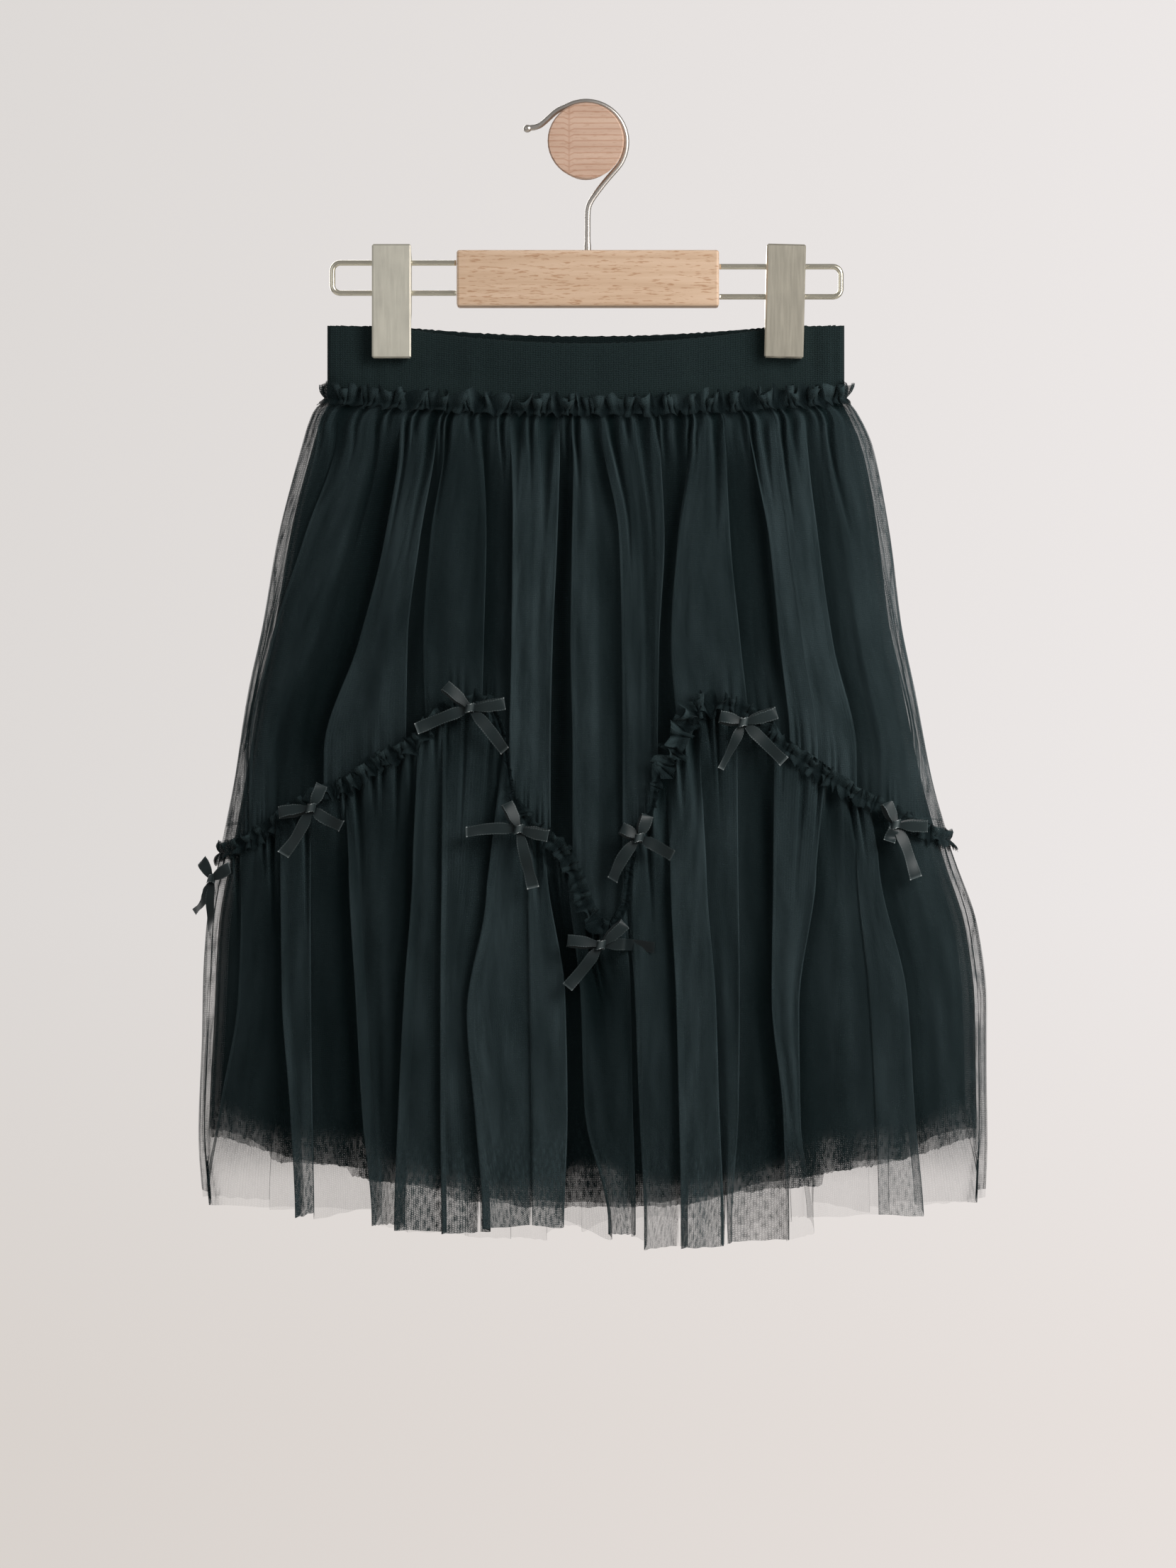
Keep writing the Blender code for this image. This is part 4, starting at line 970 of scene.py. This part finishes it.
def make_frill(name, side, height_at, half, count, rows, look, seed, follow_seam):
    """A heading of gathered net along a line. rows holds (way across the line, swing, slide) per row."""
    share, line, run = even_line(side, height_at, half, count * 14)
    t = run / run[-1]
    swing, slide, lean = ruffle(t, count, seed)
    lively = seam_liveliness(line[:, 0]) if follow_seam else np.ones_like(t)
    swing, slide = swing * lively, slide * lively
    out = outline_point(side, share, line[:, 2])[1]
    ahead = np.gradient(line, axis=0)
    if follow_seam:
        kernel = np.ones(15) / 15
        ahead = np.array([np.convolve(np.pad(way, 7, mode="edge"), kernel, "valid") for way in ahead.T]).T
    ahead = unit_rows(ahead)
    across = unit_rows(np.cross(out, ahead)) if follow_seam else np.tile([0, 0, 1], (len(t), 1))
    grid = []
    for k, (way, wide, shift) in enumerate(rows):
        full = min(abs(way) / 2.5, 1)
        loose = 0.2 if way > 0 else 0.34
        wobble = way * (loose * wander(t, count * 0.9, seed + 10 + (way > 0)) - 0.22 * swing)
        place = line + across * ((way + wobble) * np.minimum(lively, 1.25))[:, None]
        at = share + (place[:, 0] - line[:, 0]) * (share_at(1, line[:, 2]) - share_at(0, line[:, 2]))
        base, away = outline_point(side, at, place[:, 2])
        rough = 0.25 * wander(t, count * 1.7, seed + 20 + k) * full
        lift = mix(0.2, FRILL_CLEAR, full) + swing * wide + rough
        sideways = slide * shift + lean * way * 0.3
        grid.append(base + away * np.maximum(lift, 0.2)[:, None] + ahead * sideways[:, None])
    cover = np.array([0.6] + [0.95] * (len(rows) - 2) + [0.6])[:, None]
    # Painted shade and light: loops are painted light at their fronts and dark at their bases, and rows below
    # the line and calm or hidden stretches darker.
    painted_row_light = np.array([0.5 + 0.5 * min(row[0] / 3, 1) if row[0] >= 0 else 0.45 for row in rows])[:, None]
    crest = np.clip(0.12 + (0.75 if follow_seam else 1) * swing**0.8, 0, 1)
    crest = crest * painted_row_light * np.minimum(lively, 1)
    return add_sheet(name, np.array(grid), look, cover=cover, crest=crest, open=0.5)


def make_frills(looks):
    a, b, h = WAIST_FRILL_ABOVE, WAIST_FRILL_BELOW, TIER_FRILL_HALF
    waist_rows = ((a, 4.2, 1.8), (a * 0.75, 4.4, 1.7), (a * 0.45, 3.4, 1.2), (a * 0.2, 1.7, 0.7),
                  (0, 0.5, 0.3), (-b * 0.5, 1.4, 0.6), (-b, 2.3, 0.8))
    tier_rows = ((h, 2.6, 1.3), (h * 0.7, 2.4, 1.2), (h * 0.35, 1.5, 0.8), (0, 0.2, 0.2),
                 (-h * 0.35, 1.1, 0.6), (-h * 0.7, 1.6, 0.8), (-h * 0.95, 1.8, 0.9))
    for k, side in enumerate(("front", "back")):
        waist = make_frill("waist_ruffle_" + side, side, waist_seam_height, BAND_HALF, 46, waist_rows,
                           looks["frill"], 50 + k, False)
        stand_in(waist, "waist_frill_" + side)
        tier = make_frill("tier_ruffle_" + side, side, seam_height, TIER_SEAM_HALF, 116, tier_rows,
                          looks["frill"], 70 + k, True)
        stand_in(tier, "tier_frill_" + side)


# Waistband

def band_half_depth(side, share, height):
    """Half depth of the waistband, pinched in the clips and a little open between them."""
    x = np.abs(share * BAND_HALF)
    inside = 1 - ease(x, 20, CLIP_INNER_X)
    outside = ease(x, CLIP_OUTER_X, CLIP_OUTER_X + 8)
    gripped = BAND_PINCH + (BAND_OPEN - BAND_PINCH) * inside + 1.4 * outside + BAND_WALL / 2
    from_end = np.clip((BAND_HALF - x) / BAND_END_R, 0, 1)
    gripped = gripped * np.sqrt(np.maximum(1 - (1 - from_end) ** 2, 0))
    seam = read_table(SECTIONS, BAND_BOTTOM, 3 if side == "front" else 4) * roundness(share)
    return mix(gripped, seam, ease(-height, -BAND_GRIP_Z, -BAND_BOTTOM))


def make_waistband(look):
    steps = 200
    part = np.linspace(0, 1, steps + 1)[:-1]
    turn = np.sin(pi * (part - 0.5))
    comb = 0.22 * wander(np.linspace(0, 1, 2 * steps), 220, 91)
    dents = 0.25 * wander(part, 26, 92)
    levels = np.linspace(0, 1, 22)
    grid = []
    for less, level in [(0, level) for level in levels] + [(BAND_WALL, level) for level in levels[::-1]]:
        row = []
        for side, share, nap in (("front", turn, comb[:steps]), ("back", -turn, comb[steps:])):
            x = share * (BAND_HALF - less * 0.9)
            top = BAND_TOP - sag(x, BAND_TOP_SAG[side], BAND_TOP_HALF) + nap * (1 - level) ** 3
            height = mix(top, waist_seam_height(side, x), level)
            depth = np.maximum(band_half_depth(side, share, mix(BAND_TOP, BAND_BOTTOM, level)) - less, 0.02)
            depth = np.maximum(depth + dents * sin(pi * level) * roundness(share), 0.02)
            row.append(np.stack([x, PLANE_Y + side_sign(side) * depth, height], axis=-1))
        grid.append(np.concatenate(row))
    grid = np.array(grid)
    wide = grid.shape[1]
    last = (len(grid) - 1) * wide
    faces = grid_faces(len(grid), wide, closed=True).tolist()
    faces += [(last + k, k, (k + 1) % wide, last + (k + 1) % wide) for k in range(wide)]
    # Painted shade: the inner face is painted darker; the band is also darker over its last millimetres at
    # both ends.
    ends = 1 - 0.5 * ease(np.abs(grid[..., 0]), BAND_HALF - 1.6, BAND_HALF - 0.2)
    inside = np.where(np.arange(len(grid)) < len(levels), 1, 0.42)[:, None]
    made = add_mesh("waistband_elastic", grid, faces, look, cloth_map(grid, 10), shade=inside * ends)
    stand_in(made, "waistband")


# Bows

def directions(reach):
    """A reach's length, the way it points on the cloth, and the way across it."""
    length = hypot(*reach)
    along = np.array([reach[0] / length, 0, reach[1] / length])
    return length, along, np.array([-along[2], 0, along[0]])


def tilted(sideways, tilt):
    """The ribbon's way across, tilted off the cloth by an angle for each point."""
    wide = sideways * np.cos(tilt)[:, None]
    wide[:, 1] = np.sin(tilt)
    return wide


def strip(path, wide_way, widths, shade):
    """A ribbon along a path of local points, with its uv across and along in millimetres."""
    across = np.linspace(-1, 1, 7)
    run = arc_length(path)
    scallop = 1 + 0.05 * np.sin(2 * pi * run / PICOT_PITCH)
    half = (RIBBON_WIDTH / 2 * widths * scallop)[:, None, None]
    grid = path[:, None, :] + wide_way[:, None, :] * half * across[None, :, None]
    uv = np.stack(np.broadcast_arrays(across[None, :] * RIBBON_WIDTH / 2, run[:, None]), axis=-1)
    return grid, uv, run[-1], np.repeat(shade, len(across))


def loop_path(reach, lift, height):
    """Out along the cloth, round the tip and back over itself to the knot."""
    length, along, sideways = directions(reach)
    turn = np.linspace(0, 2 * pi, 26)
    far = length * (0.5 - 0.5 * np.cos(turn)) ** 0.8
    rise = lift + height * (0.5 - 0.5 * np.cos(turn / 2)) - 0.8 * np.sin(turn / 2) ** 2 * np.sin(turn - 0.3)
    path = along * far[:, None] + sideways * (0.55 * np.sin(turn))[:, None]
    path[:, 1] = -np.maximum(rise, 0.3)
    widths = 0.42 + 0.58 * ease(far / length, 0, 0.55)
    # Painted shade and highlight: darker near the knot and on the lower layer, with a highlight painted at
    # the tip.
    shade = mix(0.45, 1, ease(far / length, 0.1, 0.5)) * mix(0.6, 1, ease(turn, 2.4, 3.2))
    shade = shade + 1.5 * np.exp(-((turn - pi) / 0.16) ** 2)
    return path, tilted(sideways, 0.4 * np.sin(turn)), widths, shade


def tail_path(reach, lift, seed):
    """Out along the cloth, with a soft bend and a twist that grows towards the tip."""
    length, along, sideways = directions(reach)
    part = np.linspace(0, 1, 22)
    chance = np.random.default_rng(seed)
    bend = chance.uniform(-1.6, 1.6)
    path = along * (length * part)[:, None] + sideways * (bend * np.sin(pi * part))[:, None]
    path[:, 1] = -(lift + 1.1 * np.sin(pi * part * 1.4) ** 2 * (1 - 0.4 * part))
    tilt = 0.5 * np.sin(pi * part * chance.uniform(1, 1.8) + chance.uniform(0, 2)) * part
    widths = 0.45 + 0.55 * ease(part, 0, 0.3)
    # Painted shade and highlight: darker near the knot and where the tail twists, with a highlight painted at
    # its cut end.
    shade = mix(0.45, 1, ease(part, 0.04, 0.3)) * (1 - 0.25 * np.sin(3 * part + bend) ** 2)
    return path, tilted(sideways, tilt), widths, shade + 1.4 * ease(part, 0.965, 0.995)


def knot_path():
    """A short wrap of ribbon round the middle."""
    turn = np.linspace(0, 2 * pi, 20)
    path = np.stack([2.3 * np.sin(turn), -1.9 - 1.9 * np.cos(turn), 0.4 * np.sin(2 * turn)], axis=-1)
    # Painted light: the knot is painted lighter than the rest of the ribbon.
    return path, np.tile([0.25, 0, 1], (20, 1)), 0.7 * np.ones(20), 1.35 + 0.4 * np.cos(3 * turn)


def bow_paths(number, side, reaches):
    """Two loops and two tails. One tail slips behind a fold of the net, and one narrows."""
    for k, (x, z) in enumerate(reaches):
        reach, lift = (-side_sign(side) * x, z), 0.3 * k
        made = loop_path(reach, 0.3 + lift, 1.8) if k < 2 else tail_path(reach, lift, number * 10 + k)
        path, wide, widths, shade = made
        part = np.linspace(0, 1, len(path))
        if (number, k) == SLIPPED_TAIL:
            path[:, 1] += 8 * ease(part, 0.42, 0.6)
            # Painted shade: the tail is painted darker where it slips behind the net.
            shade = shade * (1 - 0.7 * ease(part, 0.42, 0.5))
        if (number, k) == NARROW_TAIL:
            widths = widths * (1 - 0.5 * ease(part, 0.1, 0.9))
        # Painted shade: bows in a fold's shade are painted darker.
        yield path, wide, widths, shade * (0.78 if number in SHADED_BOWS else 1)


def make_bow(look, number, side, x, height, *reaches):
    share = share_at(x, height)
    point, out = outline_point(side, share, height)
    below = outline_point(side, share, height - BOW_LEAN_REACH)[0]
    above = outline_point(side, share, height + BOW_LEAN_REACH)[0]
    lean = np.arctan2(np.dot(below - above, out), 2 * BOW_LEAN_REACH)
    upright = np.array([0, 0, 1])
    right = np.array([-out[1], out[0], 0])
    up = upright * cos(lean) - out * sin(lean)
    away = out * cos(lean) + upright * sin(lean)
    points, uvs, faces, shades, lengths = [], [], [], [], []
    for path in [*bow_paths(number, side, reaches), knot_path()]:
        grid, uv, length, shade = strip(*path)
        faces.append(grid_faces(*grid.shape[:2]) + sum(len(flat) for flat in points))
        flat = grid.reshape(-1, 3)
        points.append(flat[:, :1] * right - flat[:, 1:2] * away + flat[:, 2:] * up + point + out * BOW_LIFT)
        uvs.append(uv.reshape(-1, 2))
        shades.append(shade)
        lengths.append(length)
    points, faces, uvs, shades = (np.concatenate(parts) for parts in (points, faces, uvs, shades))
    made = add_mesh(f"bow_{number}_ribbon", points, faces, look, uvs, shade=shades)
    flat_size = (RIBBON_WIDTH * MM * 2, sum(lengths) * MM / 2)
    stand_in(made, f"bow_{number}")


# Hanger

def tube(name, path, radii, sides, look):
    """A round wire along a path that lies in the hanging plane."""
    path, radii = np.array(path, float), np.array(radii, float)[:, None]
    last = (len(path) - 1) * sides
    ahead = unit_rows(np.gradient(path, axis=0))
    across = np.stack([ahead[:, 1], -ahead[:, 0]], axis=-1)
    turn = 2 * pi * np.arange(sides) / sides
    x, z = (path[:, c:c + 1] + across[:, c:c + 1] * radii * np.cos(turn) for c in (0, 1))
    grid = np.stack([x, PLANE_Y + radii * np.sin(turn), z], axis=-1)
    faces = grid_faces(len(path), sides, closed=True).tolist()
    faces += [tuple(range(sides)), tuple(range(last, last + sides))]
    return add_mesh(name, grid, faces, look)


def arc(radius, start, end, steps):
    turn = np.radians(np.linspace(start, end, steps + 1))
    return [(radius * cos(a), radius * sin(a)) for a in turn]


def make_hook(look):
    seat_r = mix(PEG_WALL_R, PEG_FRONT_R, -PLANE_Y / PEG_LENGTH) + GAP + HOOK_WIRE_R
    bend = np.array([*HOOK_TIP, *arc(seat_r + 0.15, 122, -38, 24), *HOOK_STEM, (0.9, BAR_TOP + GAP)])
    wire = spline_weights(len(bend), np.linspace(0, 1, 150)) @ bend
    radii = np.where(wire[:, 1] < BAR_TOP + GAP + COLLAR_HEIGHT, COLLAR_R, HOOK_WIRE_R)
    ball_x = np.array([-2, -1.85, -1.45, -0.8, 0, 0.8, 1.35])
    ball = np.stack([HOOK_BALL_X + ball_x, HOOK_BALL_Z + 0.25 * ball_x], axis=-1)
    ball_r = np.sqrt(np.maximum(HOOK_BALL_R**2 - ball_x**2, 0.02))
    made = tube("hook_wire", np.concatenate([ball, wire]), np.concatenate([ball_r, radii]), 16, look)
    stand_in(made, "hook")


def make_wire_loop(name, node_name, end_x, bar_x, middle_z, look):
    way = 1 if end_x > bar_x else -1
    top, bottom = middle_z + LOOP_PITCH / 2, middle_z - LOOP_PITCH / 2
    start_x = bar_x + way * GAP
    bend_x = end_x - way * (LOOP_WIRE_R + LOOP_CORNER_R)
    corner = arc(LOOP_CORNER_R, 90, 0, 10)
    upper = [(bend_x + way * x, top - LOOP_CORNER_R + z) for x, z in corner]
    lower = [(bend_x + way * x, bottom + LOOP_CORNER_R - z) for x, z in reversed(corner)]
    path = [(start_x, top), (start_x + way, top), *upper, *lower, (start_x + way, bottom), (start_x, bottom)]
    stand_in(tube(name, path, [LOOP_WIRE_R] * len(path), 14, look), node_name)


def dress_nodes(nodes, looks):
    """The bar, the peg and the clips are the model's own solids with finer materials."""
    # Painted light: the front left clip takes a lighter copy of the clip metal.
    chosen = {"bar": "bar_wood", "peg": "peg_wood", "clip_left_front": "clip_left",
              "clip_right_front": "clip", "clip_left_back": "clip", "clip_right_back": "clip"}
    for name, look in chosen.items():
        nodes[name].data.materials.clear()
        nodes[name].data.materials.append(looks[look])


# Camera, light and floor

def make_camera():
    eye = bpy.data.cameras.new("camera")
    eye.lens = 135.6
    eye.sensor_width = 36
    made = add_object("camera", eye)
    made.location = (0.0011, -3.038, -0.326)
    made.rotation_euler = (pi / 2, 0, 0)
    bpy.context.scene.camera = made


def make_lamp(name, place, target, size, power, colour):
    lamp = bpy.data.lights.new(name, "AREA")
    lamp.size = size
    lamp.energy = power
    lamp.color = colour
    made = add_object(name, lamp)
    made.location = place
    made.rotation_euler = (Vector(target) - Vector(place)).to_track_quat("-Z", "Y").to_euler()


def make_world():
    """A pale wall with painted light and shade, brighter at the right and a little darker low down, and soft
    light from all round.
    """
    world = bpy.data.worlds.new("studio")
    world.use_nodes = True
    bpy.context.scene.world = world
    tree = world.node_tree
    tree.nodes.clear()
    across, _, upward = split(add_node(tree, "TexCoord").outputs["Generated"])
    wall = ramp(spread(across, 0, 1, -0.11, 0.11), (0, (0.72, 0.69, 0.67)), (1, (0.845, 0.81, 0.8)))
    low_wall = ramp(spread(upward, 0, 1, -0.105, -0.02), (0, (0.955, 0.93, 0.905)), (1, WHITE))
    seen = add_node(tree, "Background", {"Color": multiplied(wall, low_wall)})
    light = add_node(tree, "Background", {"Color": (1, 0.985, 0.965, 1), "Strength": 0.28})
    camera_ray = add_node(tree, "LightPath").outputs["Is Camera Ray"]
    blend = add_node(tree, "MixShader", {0: camera_ray, 1: light.outputs[0], 2: seen.outputs[0]})
    add_node(tree, "OutputWorld", {"Surface": blend.outputs[0]})


def make_floor():
    mesh = bpy.data.meshes.new("floor")
    size, low = 1.5, -1.2
    corners = [(-size, -size, low), (size, -size, low), (size, size, low), (-size, size, low)]
    mesh.from_pydata(corners, [], [(0, 1, 2, 3)])
    paint, _ = new_material("floor_paint")
    mesh.materials.append(shaded(paint, Base_Color=(0.72, 0.7, 0.67, 1), Roughness=0.8))
    add_object("floor", mesh)


def make_studio():
    make_camera()
    make_world()
    make_floor()
    middle = (0, -0.04, -0.3)
    make_lamp("key", (0.9, -0.9, 0.4), middle, 0.7, 16.4, (1, 0.98, 0.96))
    make_lamp("fill", (-1.6, -1.8, 0.2), middle, 1.6, 5.1, (0.96, 0.98, 1))
    make_lamp("back", (-0.9, 2, 0.5), middle, 1.6, 34, (1, 0.99, 0.98))
    make_lamp("right", (0.46, -0.27, -0.2), (0.13, -0.04, -0.2), 0.25, 0.8, (1, 0.98, 0.97))
    scene = bpy.context.scene
    scene.view_settings.view_transform = "Standard"
    scene.cycles.transparent_max_bounces = 32
    scene.cycles.use_denoising = True


def make_looks():
    return {
        "net": net_material("mesh_net", (0.003, 0.0093, 0.0102), (0.0313, 0.0476, 0.0522)),
        # Painted shade: the underlayer is the same net in darker colours, for the shade it hangs in behind
        # the outer net.
        "under": net_material("mesh_net_inner_painted_shade", (0.003, 0.0065, 0.0073), (0.007, 0.013, 0.0142)),
        "frill": net_material("mesh_net_heading", (0.0018, 0.0052, 0.0062), (0.0245, 0.039, 0.042)),
        "lining": lining_material(),
        "elastic": elastic_material(),
        "ribbon": ribbon_material(),
        "bar_wood": wood_material("beech_bar", False),
        "peg_wood": wood_material("beech_peg", True),
        "clip": metal_material("champagne_clip", (0.8, 0.745, 0.62), 0.32, (900, 900, 60)),
        # Painted light: a lighter copy of the clip metal, for the light that falls on the front left clip.
        "clip_left": metal_material("champagne_clip_painted_light", (0.97, 0.93, 0.8), 0.4, (900, 900, 60)),
        "wire": metal_material("champagne_wire", (0.8, 0.75, 0.62), 0.25, (60, 900, 900)),
        "steel": metal_material("polished_hook", (0.57, 0.53, 0.49), 0.36, (300, 300, 300)),
    }


def main():
    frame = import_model()
    make_studio()
    looks = make_looks()
    dress_nodes(frame["nodes"], looks)
    make_hook(looks["steel"])
    make_wire_loop("loop_wire_left", "wire_loop_left", -130.1, BAR_LEFT, -69, looks["wire"])
    make_wire_loop("loop_wire_right", "wire_loop_right", 130.9, BAR_RIGHT, -70.9, looks["wire"])
    make_waistband(looks["elastic"])
    make_skirt(looks)
    make_frills(looks)
    for number, bow in enumerate(BOWS, 1):
        make_bow(looks["ribbon"], number, *bow)


main()
